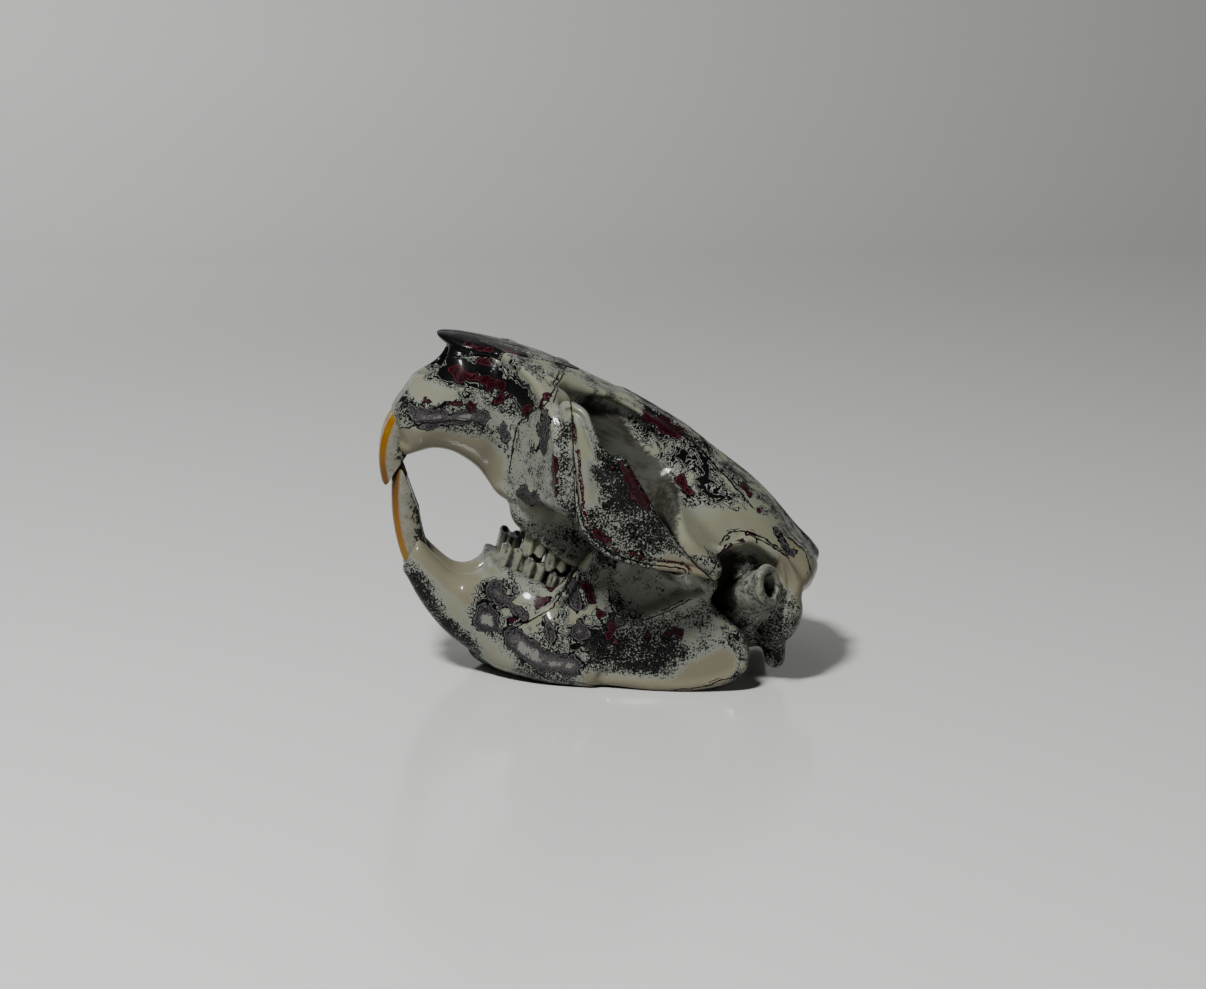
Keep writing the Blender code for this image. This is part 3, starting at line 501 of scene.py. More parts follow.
def arch_relief(g, side):
    """How the arch's outer face stands out or sinks, by the distance inside its outline."""
    front = soft_step(g.x, 13.0, 2.0)
    low = soft_step(g.z - 27.5 + 0.25 * g.x, 0.0, -2.0)
    high = soft_step(g.z, 30.0, 1.6)
    rim = 0.6 * soft_ridge(side, -0.9, 0.75)
    furrow = -0.65 * soft_ridge(side, -2.2, 0.55) * np.maximum(front, low)
    second = 1.15 * soft_ridge(side, -4.4, 1.5) * front * high
    return rim + furrow + second - 0.5 * np.clip((-side - 3.4) / 4.5, 0, 1)


def cheek_arch(g):
    """The cheek arch, a thin curved plate with a raised rim and a furrow inside it."""
    side = outline(CHEEKBONE_SIDE, g.x, g.z)
    thick = 1.55 + arch_relief(g, side)
    return overlap(side, np.abs(g.y - arch_middle(g.x, g.z)) - thick, 1.3)


def squamosal_shelf(g):
    """The root of the cheek arch behind, over the jaw's joint."""
    seen_from_above = [(-8, 18), (-10, 28), (-11.5, 36), (-14, 41.8), (-20, 43.6), (-27, 42.8), (-30, 39.6),
                       (-29.0, 34), (-31, 27), (-34, 18)]
    middle = 33.2 - 0.16 * (g.y - 25) - 0.25 * (-10 - g.x)
    half = along(g.y, {18: 4.5, 27: 3.2, 36: 2.4, 44: 2.0})
    return overlap(outline(seen_from_above, g.x, g.y), np.abs(g.z - middle) - half, 2.4)


print("the cheek arch stands out to y", round(float(arch_middle(-4, 21)), 1), "mm")

# %% The back of the skull and the ear
EAR_MOUTH = Vector((-42.0, 35.0, 28.9))
EAR_OUTWARD = Vector((-0.62, 0.58, 0.53)).normalized()
EAR_ROOT = (-38.5, 22.0, 18.0)
EAR_TUBE = 5.4


def occiput_middle(g):
    """How far back the plate's mid surface stands."""
    return along(g.z, OCCIPUT_FACE) + 8.5 * (g.y / MASTOID_HALF_WIDTH) ** 2


def occiput(g):
    """The plate that closes the skull behind, with the crest along its rim."""
    face = [(-20, 35.4), (0, 38.6), (20, 35.4), (27, 30), (MASTOID_HALF_WIDTH, 23), (29, 16), (22, 11),
            (0, 10.5), (-22, 11)]
    return overlap(outline(face, g.y, g.z), np.abs(g.x - occiput_middle(g)) - OCCIPUT_HALF, 2.5)


def ear_tube(g, bone):
    """The bony ear tube, trimmed square at its mouth, with a rolled lip and an open bore."""
    mouth, out = np.array(EAR_MOUTH), np.array(EAR_OUTWARD)
    x, y, z = (v - m for v, m in zip((g.x, g.y, g.z), mouth))
    ahead = x * out[0] + y * out[1] + z * out[2]
    away = np.sqrt(np.maximum(x**2 + y**2 + z**2 - ahead**2, 0))
    bone = join(bone, rod(g, EAR_ROOT, EAR_MOUTH, EAR_TUBE + 0.8, EAR_TUBE - 0.2), 2.5)
    lip = np.sqrt((away - EAR_TUBE + 0.9) ** 2 + (ahead + 1.1) ** 2) - 1.15
    bone = join(bone, lip, 0.8)
    trim = np.maximum(-ahead, away - 9.5)
    bone = carve(bone, trim, 0.6)
    deep = mouth + 0.62 * (np.array(EAR_ROOT) - mouth)
    return carve(bone, rod(g, mouth + out, deep, 3.4, 1.6), 0.8)


leaning = max(OCCIPUT_FACE.values()) - min(OCCIPUT_FACE.values())
print("the occiput's face leans back by", round(leaning, 1), "mm")

# %% [markdown]
# ## The cranium as one field
# The forms are joined in the order that they lie over each other, each with its own fillet: wide where
# one bone swells into the next, narrow at a rim. The hollows come last, because they cut through all.

# %% The hollows
# The smooth hollows of the cranium, (centre, radii, fillet): the front of the orbit and its roof, the
# opening for the neck, the throat, the palate, the slit beside the snout and the nose
HOLLOWS = [
    ((15, 15.0, 36), (11.5, 7.0, 9.0), 3.0),
    ((10.6, 17.6, 44.0), (10.4, 9.0, 8.4), 1.6),
    ((-61, 0, 21.0), (13.0, 6.6, 5.6), 1.5),
    ((-41, 0, 9.5), (7.5, 4.0, 5.0), 2.0),
    ((2, 0, 4.0), (28, 4.2, 7.0), 2.0),
    ((33.5, 16.5, 16.0), (6.0, 2.0, 3.2), 1.5),
    ((64, 0, 37.6), (24, 8.8, 6.0), 1.2),
]
# The slit behind the cheek plate, and small holes for nerves and vessels, (place, size)
NERVE_HOLES = [((27.6, 26.5, 50.2), 0.55), ((24.8, 24.4, 49.6), 0.75), ((-21, 24.6, 34.2), 0.5),
               ((-36, 24.0, 37.5), 0.5), ((37, 15.0, 33.0), 0.5)]
print("the cranium has", len(HOLLOWS), "hollows and", len(NERVE_HOLES), "small holes")

# %% The snout and the bone round the upper cheek teeth
# The upper incisor's socket swells the snout along this arc: centre x, centre z, radius
SOCKET_ARC = (43.1, 16.0, 18.0)
# The swellings over the roots of the upper cheek teeth, (x, foot, top)
ROOT_SWELLINGS = [(17.2, 8.6, 14.5), (13.6, 7.6, 12.0), (10.0, 7.0, 11.0), (6.4, 6.6, 10.2), (2.8, 6.2, 9.6)]


def snout(g):
    """The snout, cut by the profile, with the swelling of the upper incisor's socket."""
    profile = outline(SIDE_PROFILE, g.x, g.z)
    profile = overlap(profile, g.x + SNOUT_ROUNDING * g.y**2 - along(g.z, SNOUT_FRONT), 2.0)
    bone = overlap(trunk(g, SKULL_TRUNK), profile, 2.0)
    x, z, radius = SOCKET_ARC
    socket = [(x + radius * math.cos(a), 5.6 + 1.6 * a, z + radius * math.sin(a))
              for a in (0.15, 0.5, 0.9, 1.4, 1.9)]
    swelling = overlap(chain(g, socket, [6.2, 7.2, 7.8, 7.2, 6.0]), profile, 1.5)
    return join(bone, swelling, 3.0)


def tooth_block(g):
    """The bone that holds the upper cheek teeth, narrow above with a swelling over each root."""
    block = [(26.0, 14.5), (22.8, 12.0), (19.0, 8.2), (14, 6.6), (9, 5.7), (0, 4.9), (-9, 5.6), (-12, 11),
             (-10, 22), (20, 22)]
    half = along(g.z, {6: 4.9, 9: 4.3, 13: 3.0, 20: 2.6})
    middle = along(g.x, ROW_MIDDLE)
    field = overlap(outline(block, g.x, g.z), np.abs(g.y - middle) - half, 2.0)
    for x, foot, top in ROOT_SWELLINGS:
        y = float(along(np.array([x]), ROW_MIDDLE)[0]) + 3.3
        field = join(field, rod(g, (x, y - 0.3, foot), (x + 0.3 * (top - foot), y - 0.9, top), 1.5, 0.8), 1.0)
    return join(field, ellipsoid(g, (22.0, 11.5, 14.0), (5.5, 5.5, 6.0)), 4.0)


print("root swellings on each side:", len(ROOT_SWELLINGS))

# %% The whole cranium with its cheekbones and nasal bones
def cranium_field(g):
    """The cranium, cheekbones and nasal bones in one field."""
    bone = snout(g)
    bone = join(bone, ellipsoid(g, (-25, 0, 29.0), (27, BRAINCASE_HALF_WIDTH, 19.0)), 5.0)
    bone = overlap(bone, occiput_middle(g) - OCCIPUT_HALF - g.x, 2.0)
    bone = join(bone, trunk(g, FRONTAL_ROOF), 3.5)
    bone = join(bone, occiput(g), 2.5)
    bone = join(bone, zygomatic_plate(g), 4.5)
    bone = join(bone, squamosal_shelf(g), 4.0)
    bone = join(bone, cheek_arch(g), 2.0)
    bone = join(bone, ellipsoid(g, (32.0, 23.0, 45.4), (5.0, 5.0, 3.2)), 4.0)
    bone = join(bone, tooth_block(g), 2.0)
    # Ridge of the braincase, mastoids, ear capsules and the joints with the neck
    ridge = [(12, 6.6, 51.6), (-8, 3.2, 50.8), (-28, 0.8, 46.4), (-56, 0.4, 37.2)]
    bone = join(bone, chain(g, ridge, [1.0, 1.2, 1.5, 1.6]), 3.0)
    bone = join(bone, ellipsoid(g, (-51.5, 26.0, 20.5), (4.8, 5.0, 7.5)), 3.0)
    crest = [(-27, 34, 31.5), (-33, 28.0, 35.8), (-43, 26.5, 35.6), (-49.5, 27.0, 30.5), (-51.5, 27.5, 23)]
    bone = join(bone, chain(g, crest, [1.6, 1.8, 1.8, 1.8, 1.6]), 3.5)
    bone = carve(bone, ellipsoid(g, (-35.5, 34.5, 26.5), (10.0, 12.5, 10.0)), 1.4)
    bone = join(bone, ellipsoid(g, (-42.0, 15.5, 14.5), (12.0, 9.6, 8.6)), 2.5)
    bone = ear_tube(g, bone)
    bone = join(bone, ellipsoid(g, (-53.4, 7.6, 14.5), (4.2, 4.0, 5.6)), 2.0)
    bone = join(bone, rod(g, (-51.5, 21.5, 16), (-56.2, 20.8, 9.0), 4.0, 2.8), 2.5)
    pterygoid = outline([(-6, 15), (-9, 8), (-16, 4.5), (-24, 5.0), (-29, 8.5), (-30, 15)], g.x, g.z)
    bone = join(bone, overlap(pterygoid, np.abs(g.y - 7.6) - 1.5, 1.2), 2.0)
    for centre, radii, soft in HOLLOWS:
        bone = carve(bone, ellipsoid(g, centre, radii), soft)
    for at, size in NERVE_HOLES:
        bone = carve(bone, ellipsoid(g, at, (size, size * 2.5, size)), 0.3)
    return join(bone, trunk(g, NASAL_BONES), 1.2)


above_braincase = cranium_field(Lattice((-20, 0, 70), (-20, 0, 70), 1)).item()
print("20 mm above the braincase the field is", round(above_braincase, 1), "mm")

# %% [markdown]
# ## Parting the bones
# On a real skull the nasal bones and the cheekbones meet their neighbours along sutures. The same whole
# field is read three times, and each time only the part inside or outside a region is kept, so the parts
# match along the suture.

# %% Regions of the cheekbone and the nasal bones
CHEEKBONE_PART = [(30.5, 50), (27.5, 45.5), (22.2, 36), (17.2, 27), (12.5, 19), (10, 12), (-34, 12),
                  (-34, 22.2), (-30, 22.9), (-20, 25.6), (-9.6, 30.0), (-6.0, 36), (8, 50), (26, 60)]
CHEEKBONE_INNER = 32.5
# The nasal bones, x: (how far their side sutures stand out, how deep they go)
NASAL_PART = {
    72: (16, 37.5), 62.5: (16, 40.2), 60.4: (16, 41.3), 51.4: (15, 46.2), 47: (11.6, 46.8),
    44: (10.6, 47.2), 36.5: (7.4, 48.6), 30: (4.2, 50), 26.5: (1.2, 51),
}


def cheekbone_region(g):
    """Where the field is cheekbone, as a distance, negative inside."""
    return np.maximum(outline(CHEEKBONE_PART, g.x, g.z, 1), CHEEKBONE_INNER - g.y)


def nasal_region(g):
    """Where the field is nasal bone, as a distance, negative inside."""
    out, floor = (along(g.x, {x: s[i] for x, s in NASAL_PART.items()}) for i in range(2))
    return np.maximum(np.maximum(np.abs(g.y) - out, floor - g.z), min(NASAL_PART) - g.x)


print("the nasal bones run from x", min(NASAL_PART), "to the snout's front")

# %% Meshing the cranium, cheekbone and nasal bone
GAP = SUTURE / 4
CRANIUM_CELL = 0.52
CHEEKBONE_CELL = 0.36
NASAL_CELL = 0.3

lattice = Lattice((-66, CRANIUM_CELL / 2, 2), (76, 50, 60), CRANIUM_CELL)
whole = cranium_field(lattice)
whole = carve(whole, cheekbone_region(lattice) - GAP, 0.2)
whole = carve(whole, nasal_region(lattice) - GAP, 0.2)
cranium = bone_mesh("cranium_bone", whole, lattice, mirrored=True)

lattice = Lattice((-36, 31, 12), (34, 48, 53), CHEEKBONE_CELL)
cheekbone = bone_mesh("cheekbone_left_bone",
                      overlap(cranium_field(lattice), cheekbone_region(lattice) + GAP, 0.2), lattice)

lattice = Lattice((25, -0.5, 36), (70, 18, 56), NASAL_CELL)
half = np.maximum(nasal_region(lattice) + GAP, GAP - lattice.y)
nasal = bone_mesh("nasal_left_bone", overlap(cranium_field(lattice), half, 0.2), lattice)

# %% [markdown]
# ## The lower jaw
# Each half is a heavy body round the root of the incisor, a thin broad plate behind it where the chewing
# muscle was, a ridge that climbs from the body to the plate's front edge, and a low knob for the joint.

# %% The lower jaw's forms
JAW_SIDE = [
    (42.6, -9.3), (36.7, -11.4), (31.5, -12.6), (27.4, -12.8), (24.9, -10.4), (23.7, -6), (20, -4.2),
    (8, -4.0), (4.8, 4), (3.0, 11), (0.0, 18), (-4, 23.5), (-8.5, 26), (-10.6, 23.0), (-14, 19.5),
    (-18, 18.5), (-22.5, 20.4), (-27.6, 23.4), (-29.6, 21.4), (-30.6, 16.9), (-36.2, 15.0), (-41.9, 13.4),
    (-46.2, 9.7), (-47.7, 4.2), (-44.9, -1.3), (-37.2, -7.7), (-27.9, -12.8), (-20.7, -16.0),
    (-15.9, -18.5), (-6.5, -23.5), (3.7, -27.2), (11.6, -29.6), (19.7, -29.2), (25.4, -28.4), (32.3, -26),
    (37.3, -23.4), (41.2, -20.3),
]
JAW_BODY = {
    45: (-8.4, -18.6, 3.8, 2.2), 43: (-9.2, -19.6, 4.5, 2.3), 38: (-11.0, -23.0, 5.6, 2.3),
    32: (-12.3, -26.2, 6.3, 2.3), 26: (-9.9, -28.4, 6.8, 2.3), 20: (-4.4, -29.3, 7.2, 2.4),
    12: (-4.0, -29.8, 7.4, 2.4), 4: (-5.0, -27.6, 7.0, 2.3), -4: (-9.0, -24.6, 5.4, 2.2),
    -13: (-13, -19.6, 3.0, 2.0),
}
JAW_MIDDLE = {46: 4.6, 32: 6.2, 20: 8.6, 12: 12.0, 4: 17.8, -4: 22.0, -16: 27.0, -30: 31.0, -48: 33.0}
# The edge of the oval hollow on the plate's outer face
JAW_HOLLOW = [(-6.0, 7.5), (-7.6, 3.8), (-11.2, 2.4), (-15.8, 4.4), (-19.8, 9.6), (-24.2, 15.4),
              (-27.0, 19.0), (-20, 21.5), (-9, 20), (-5.5, 13)]
print("the jaw's body has", len(JAW_BODY), "stations")

# %% One half of the lower jaw
def jaw_field(g):
    """The left half of the lower jaw, cut off where it would pass the midline or the floor."""
    middle = along(g.x, JAW_MIDDLE)
    body = trunk(g, JAW_BODY, middle)
    side = outline(JAW_SIDE, g.x, g.z)
    rim = 0.8 * soft_ridge(side, -1.7, 1.4)
    lean = along(g.z, {-30: -3.0, -10: -0.5, 10: 0.0, 30: 0.5})
    ramus = overlap(side, np.abs(g.y - middle - lean) - (1.45 + rim), 1.6)
    bone = join(body, overlap(ramus, g.x - 10.5, 2.0), 4.0)
    block = [(25.2, -7.5), (24.2, -4.2), (12, -5.0), (-3, -4.4), (-6, -9), (0, -16), (24, -16)]
    bone = join(bone, overlap(outline(block, g.x, g.z), np.abs(g.y - along(g.x, ROW_MIDDLE)) - 4.6, 2.0), 3.0)
    # The ridge from the body up to the plate's front edge, with a furrow under it
    ridge = [(11.6, 17.0, -17), (7.9, 18.2, -13), (5.2, 19.6, -7), (3.6, 20.6, -1), (3.4, 20.8, 6),
             (2.2, 21.4, 13)]
    bone = join(bone, chain(g, ridge, [1.0, 1.45, 1.45, 1.35, 1.2, 1.1]), 1.5)
    bone = join(bone, ellipsoid(g, (-25.4, 29.6, 20.8), (4.6, 3.0, 3.0)), 2.5)
    # The oval hollow where the muscle sat, and the lip below it
    lip = [(-5.6, 23.4, 5.0), (-10.4, 25.6, 2.0), (-15.6, 27.6, 3.6), (-20.6, 29.4, 9.4), (-25, 30.4, 16)]
    bone = join(bone, chain(g, lip, [1.6, 2.2, 2.3, 2.2, 1.8]), 3.6)
    hollow = outline(JAW_HOLLOW, g.x, g.z)
    sunk = 1.5 * soft_step(hollow, -0.9, -0.55) - 0.5 * soft_ridge(hollow, 0.6, 1.3)
    bone = bone + soft_step(g.y, middle, 0.5) * sunk
    bone = bone - 0.5 * bump(g, (-2.0, 25.0, -12.0), (7.0, 4.0, 4.0))
    bone = bone + 0.6 * bump(g, (9.0, 20.0, -20.0), (6.0, 5.0, 4.0))
    bone = join(bone, ellipsoid(g, (11.5, 3.4, -30.2), (6.5, 3.0, 2.6)), 3.0)
    bone = overlap(bone, SUTURE / 2 - g.y, 0.6)
    above_floor = g.x * math.sin(REST_PITCH) + g.z * math.cos(REST_PITCH) + REST_SHIFT[2]
    return overlap(bone, -above_floor, 0.6)


JAW_CELL = 0.42
JAW_TRIANGLES = 150000
lattice = Lattice((-54, -1, -36), (50, 38, 38), JAW_CELL)
jaw = bone_mesh("mandible_left_bone", jaw_field(lattice), lattice, triangles=JAW_TRIANGLES)

# %% The other side
def mirror_copy(obj, name):
    """The other side's bone, with its faces turned out again."""
    other = in_scene(name, obj.data.copy())
    other.data.transform(Matrix.Scale(-1, 4, (0, 1, 0)))
    other.data.flip_normals()
    return other


def vertex_points(obj):
    """A mesh's points as rows of x, y and z."""
    points = np.empty(len(obj.data.vertices) * 3, np.float32)
    obj.data.vertices.foreach_get("co", points)
    return points.reshape(-1, 3)


def place(obj):
    """Moves a finished mesh from the skull's frame to where the skull rests."""
    obj.data.vertices.foreach_set("co", placed(vertex_points(obj)).astype(np.float32).ravel())
    obj.data.update()


print("the jaw reaches out to y", round(float(vertex_points(jaw)[:, 1].max()), 1), "mm")

# %% [markdown]
# ## Where each coat shows
# Sanding goes through the coats first on what stands out, and leaves them in hollows; the hollows are
# also darkened a little as painted shade. On top of that the maker laid broad areas of one colour. Each
# bone therefore gets a list of broad strokes, seen from the side, that say which coat lies there. A few
# strokes lay painted shade instead: a smooth dark grey in the orbit, on the wall behind it, in the recess
# by the ear and in the jaw's hollow. The strokes only steer the finish: every island, ring and speck, and
# each edge, comes from noise in the material.

# %% The coats
# What each coat puts into the channels dark, speck, island, tan, painted shade and streak
COATS = {
    "cream": (0.16, 0.5, 0.35, 0.25, 0, 0),
    "tan": (0.05, 0.5, 0.20, 1.0, 0, 0),
    "salt": (0.34, 0.95, 0.35, 0, 0, 0),
    "pepper": (0.60, 1.4, 0.25, 0, 0, 0),
    "black": (0.84, 1.5, 0.45, 0, 0, 0),
    "ink": (0.86, 0.40, 1.05, 0, 0, 0),
    "deep": (1.40, 0.45, 1.2, 0, 0, 0),
    "islands": (0.62, 0.22, 1.6, 0.2, 0, 0),
    # The next three coats are painted shade, not lacquer: a smooth dark grey where shade falls, full, light
    # and middling, the lighter two mixed with salt
    "painted_shade": (0.20, 0.2, 0.0, 0.2, 1.0, 0.2),
    "light_painted_shade": (0.32, 0.6, 0.2, 0.2, 0.30, 0.4),
    "mid_painted_shade": (0.36, 0.7, 0.2, 0.1, 0.47, 0.4),
    "roof": (0.54, 0.6, 0.5, 0.0, 0.0, 1.0),
}
print("coats:", ", ".join(COATS))

# %% Strokes on the cranium
# The coat below all strokes, then the strokes, (coat, half width, path)
CRANIUM_COAT = "islands"
CRANIUM_STROKES = [
    ("roof", 3.6, [(12, 55), (-10, 53), (-31, 48), (-50, 41)]),
    ("tan", 7.0, [(58, 17), (46, 20), (32, 18)]),
    ("cream", 4.0, [(64, 29), (58, 33)]),
    ("pepper", 3.4, [(64, 22), (56, 26), (46, 28)]),
    ("salt", 4.5, [(46, 36), (38, 30)]),
    ("salt", 7.0, [(33, 41), (29, 28), (26, 19)]),
    ("pepper", 2.6, [(27, 42), (24, 30), (19, 22)]),
    ("deep", 4.4, [(63, 38.5), (55, 40), (47.5, 42), (40, 43.5)]),
    ("pepper", 2.4, [(48, 36.5), (41, 37.5)]),
    ("cream", 2.6, [(42, 47), (34, 46)]),
    ("cream", 3.5, [(29, 50), (26, 50)]),
    # Painted shade in the orbit, lighter at its top, and on the wall behind it
    ("painted_shade", 6.5, [(17, 46), (12, 46), (4, 44)]),
    ("painted_shade", 7.0, [(14, 36), (4, 32)]),
    ("light_painted_shade", 2.6, [(18, 49.5), (9, 50)]),
    ("painted_shade", 5.0, [(1, 43), (-6, 36), (-12, 28)]),
    ("islands", 7.5, [(2, 51), (-10, 48), (-22, 45), (-32, 43)]),
    ("ink", 2.6, [(4, 51), (-12, 48), (-22, 46)]),
    ("cream", 5.5, [(-17, 33), (-26, 36), (-36, 37)]),
    ("tan", 5.0, [(-46, 35), (-54, 31)]),
    # Painted shade in the recess by the ear and on the ear tube
    ("painted_shade", 5.0, [(-31, 26), (-34, 20)]),
    ("mid_painted_shade", 3.5, [(-37, 30), (-38, 22)]),
    ("mid_painted_shade", 4.6, [(-42, 27), (-46, 18)]),
    ("pepper", 3.6, [(-50, 22), (-52, 12)]),
    ("salt", 5.0, [(22, 14), (8, 12), (-6, 12)]),
]
# The patches of crimson and of violet, (half width, path)
CRANIUM_RED = [
    (2.0, [(57, 38.5), (46, 41)]), (0.9, [(60, 42.5), (50, 44.5)]), (1.0, [(45, 37), (42, 40)]),
    (0.9, [(61, 28), (50, 33)]), (1.8, [(-10, 41), (-12, 40)]), (1.2, [(6, 51), (-5, 51)]),
    (0.8, [(-27, 46.5), (-33, 43)]), (0.3, [(-25, 27), (-28, 35), (-34, 37)]), (0.6, [(35, 46), (36.5, 38)]),
    (0.5, [(27, 34), (21.5, 24)]), (0.9, [(-54, 34), (-57, 29)]),
]
CRANIUM_VIOLET = [
    (2.4, [(61, 23), (52, 28), (46, 31)]), (1.0, [(42, 35), (38, 29)]), (1.5, [(33, 42), (30, 33)]),
    (2.2, [(26, 19), (21, 17)]), (0.9, [(-40, 40), (-48, 36)]),
]
print("strokes and patches on the cranium:", len(CRANIUM_STROKES + CRANIUM_RED + CRANIUM_VIOLET))

# %% Strokes on the nasal bones and the cheekbones
NASAL_COAT = "deep"
NASAL_STROKES = [("salt", 0.9, [(41, 51), (34, 53)]), ("deep", 1.2, [(62, 45), (54, 49), (46, 52)])]
NASAL_RED = [(0.7, [(58, 45.5), (52, 48)]), (0.5, [(48, 49), (44, 50)])]
CHEEKBONE_COAT = "pepper"
CHEEKBONE_STROKES = [
    ("black", 6.5, [(13, 39), (8, 34), (1, 29)]),
    ("pepper", 2.4, [(21, 45), (17, 40)]),
    ("pepper", 3.5, [(3, 26), (-7, 24)]),
    ("salt", 2.6, [(18, 33), (12.5, 25.5)]),
    ("pepper", 3.0, [(12, 26), (4, 23)]),
    ("cream", 2.6, [(27, 46.5), (22, 41), (18, 34.5), (14.5, 28.5)]),
    ("tan", 3.6, [(-14, 22), (-25, 25)]),
]
CHEEKBONE_RED = [(1.3, [(11, 41), (5, 37), (-1, 33)]), (0.6, [(8, 21.4), (-6, 21.6), (-11, 24)])]
print("strokes and patches on a cheekbone:", len(CHEEKBONE_STROKES + CHEEKBONE_RED))

# %% Strokes on the jaw
JAW_COAT = "pepper"
JAW_STROKES = [
    ("tan", 4.6, [(41, -11), (32, -13), (26, -13)]),
    ("salt", 3.0, [(42, -18), (36, -19)]),
    ("cream", 3.2, [(30, -20.5), (22, -24), (10, -27)]),
    ("cream", 2.4, [(23, -6.6), (8, -6.4)]),
    ("islands", 5.0, [(20, -13), (6, -10)]),
    ("black", 3.4, [(41, -20.5), (30, -26), (19, -29.5)]),
    ("cream", 2.0, [(10, -15), (5, -6), (3, 8)]),
    ("islands", 6.0, [(0, 2), (-6, -8), (0, 10)]),
    ("black", 4.2, [(-9, -9), (-21, -6), (-28, -1)]),
    ("salt", 4.0, [(-30, 6), (-36, 11)]),
    ("salt", 2.2, [(-3, 8), (-6, 0)]),
    ("tan", 3.8, [(-14, -19), (-24, -15.5), (-35, -8.5), (-42, 1)]),
    ("tan", 4.4, [(-37, -3), (-42, 4)]),
    ("islands", 1.8, [(-38, 14), (-44, 11), (-48, 5), (-46, -2)]),
    # Painted shade in the jaw's oval hollow under the cheek arch
    ("light_painted_shade", 6.5, [(-10, 10), (-17, 12), (-23, 18)]),
    ("light_painted_shade", 5.0, [(-4, 18), (-12, 20), (-20, 22)]),
]
JAW_RED = [
    (1.3, [(-1, 3), (-6, -1)]), (1.0, [(-11, -3), (-14, -6)]), (0.9, [(-20, 0), (-27, 6)]),
    (0.5, [(13, -15), (7, -4), (5, 8)]), (0.4, [(1, 14), (-1, 19)]),
]
JAW_VIOLET = [
    (3.4, [(10, -19), (2, -20), (-6, -17)]), (3.0, [(19.5, -18.5), (18.5, -18)]),
    (2.2, [(20, -10.5), (11, -12)]), (1.4, [(6, -9), (2, -13)]), (1.6, [(4, 3), (-4, -8)]),
    (0.9, [(-12, 0), (-17, 0)]),
]
print("strokes and patches on a jaw half:", len(JAW_STROKES + JAW_RED + JAW_VIOLET))

# %% Reading the strokes
# In millimetres: far from every line, well outside every patch, and how soft a stroke's edge is
FAR_AWAY = 99.0
WELL_OUTSIDE = -9.0
STROKE_SOFTNESS = 0.9


def from_stretch(points, a, b):
    """How far each point is from the stretch from a to b, seen from the side, and on which side."""
    x, z = points[:, 0] - a[0], points[:, 2] - a[1]
    dx, dz = b[0] - a[0], b[1] - a[1]
    t = np.clip((x * dx + z * dz) / (dx * dx + dz * dz), 0, 1)
    return np.hypot(x - t * dx, z - t * dz), np.where(x * dz - z * dx > 0, 1.0, -1.0)


def stroke_distance(points, path):
    """Distance from each point to a stroke, seen from the side."""
    return functools.reduce(np.minimum, (from_stretch(points, a, b)[0] for a, b in zip(path, path[1:])))


def laid_coats(points, coat, strokes):
    """The channels at each point, laid one stroke over another."""
    channels = np.tile(np.array(COATS[coat], np.float32), (len(points), 1))
    for name, width, path in strokes:
        amount = soft_step(width - stroke_distance(points, path), 0.0, STROKE_SOFTNESS)[:, None]
        channels = channels * (1 - amount) + np.array(COATS[name], np.float32) * amount
    return channels


def patch_depth(points, patches):
    """How far inside the nearest patch of a colour each point lies, in millimetres, negative outside."""
    best = np.full(len(points), WELL_OUTSIDE, np.float32)
    for width, path in patches:
        best = np.maximum(best, width - stroke_distance(points, path))
    return best


above_stroke = stroke_distance(np.array([[0, 0, 2]]), [(-1, 0), (1, 0)])
print("2 mm above a stroke the distance is", above_stroke[0], "mm")

# %% [markdown]
# ## Lines along seams and rims
# Thin dark lines follow the seams between bones and the sharp rims. A line needs to stay thin however
# coarse the mesh is, so each point keeps its distance to the nearest line, with a sign for the side it
# lies on. The value passes evenly through zero at the line, and the material draws it there.

# %% Lines seen from the side
CRANIUM_LINES = [
    [(33, 51), (34.5, 45), (36, 40), (37, 34), (35, 28), (33, 22)],
    [(33, 46), (32.5, 49), (31.5, 52), (28, 54.5)],
    [(63.5, 17.5), (58, 23), (51, 27.5), (46, 29.5), (43, 29)],
    [(9.5, 53.5), (-2, 51.5), (-11.7, 49.7), (-22, 46.5), (-31.1, 43.0)],
    [(-24, 25), (-25, 30), (-27.2, 35), (-31, 37.2), (-37, 37.6), (-44.5, 36.4)],
    [(-44, 40), (-50, 38.5), (-54.5, 34), (-55.5, 28)],
]
JAW_LINES = [
    [(12.5, -17.5), (8.6, -12), (5.2, -6), (4.6, 0), (4.4, 8), (3.6, 14)],
    [(-5.5, 6), (-8, 2.4), (-12, 1.0), (-16.8, 3.4), (-21, 9.2), (-25, 15)],
    [(-10, -20.5), (-20, -17), (-30, -12), (-40, -4), (-46.5, 3)],
]
# How far from a line it still counts as near, and the largest distance that is kept
LINE_REACH = 2.2
LINE_KEPT = 3.0


def signed_lines(points, lines):
    """The signed distance to the nearest line, and how near that line is."""
    best = np.full(len(points), FAR_AWAY, np.float32)
    signed = best.copy()
    for line in lines:
        for a, b in zip(line, line[1:]):
            away, side = from_stretch(points, a, b)
            signed = np.where(away < best, away * side, signed)
            best = np.minimum(best, away)
    return np.clip(signed, -LINE_KEPT, LINE_KEPT), np.exp(-((best / LINE_REACH) ** 4))


print("lines on the cranium and the jaw:", len(CRANIUM_LINES), "and", len(JAW_LINES))

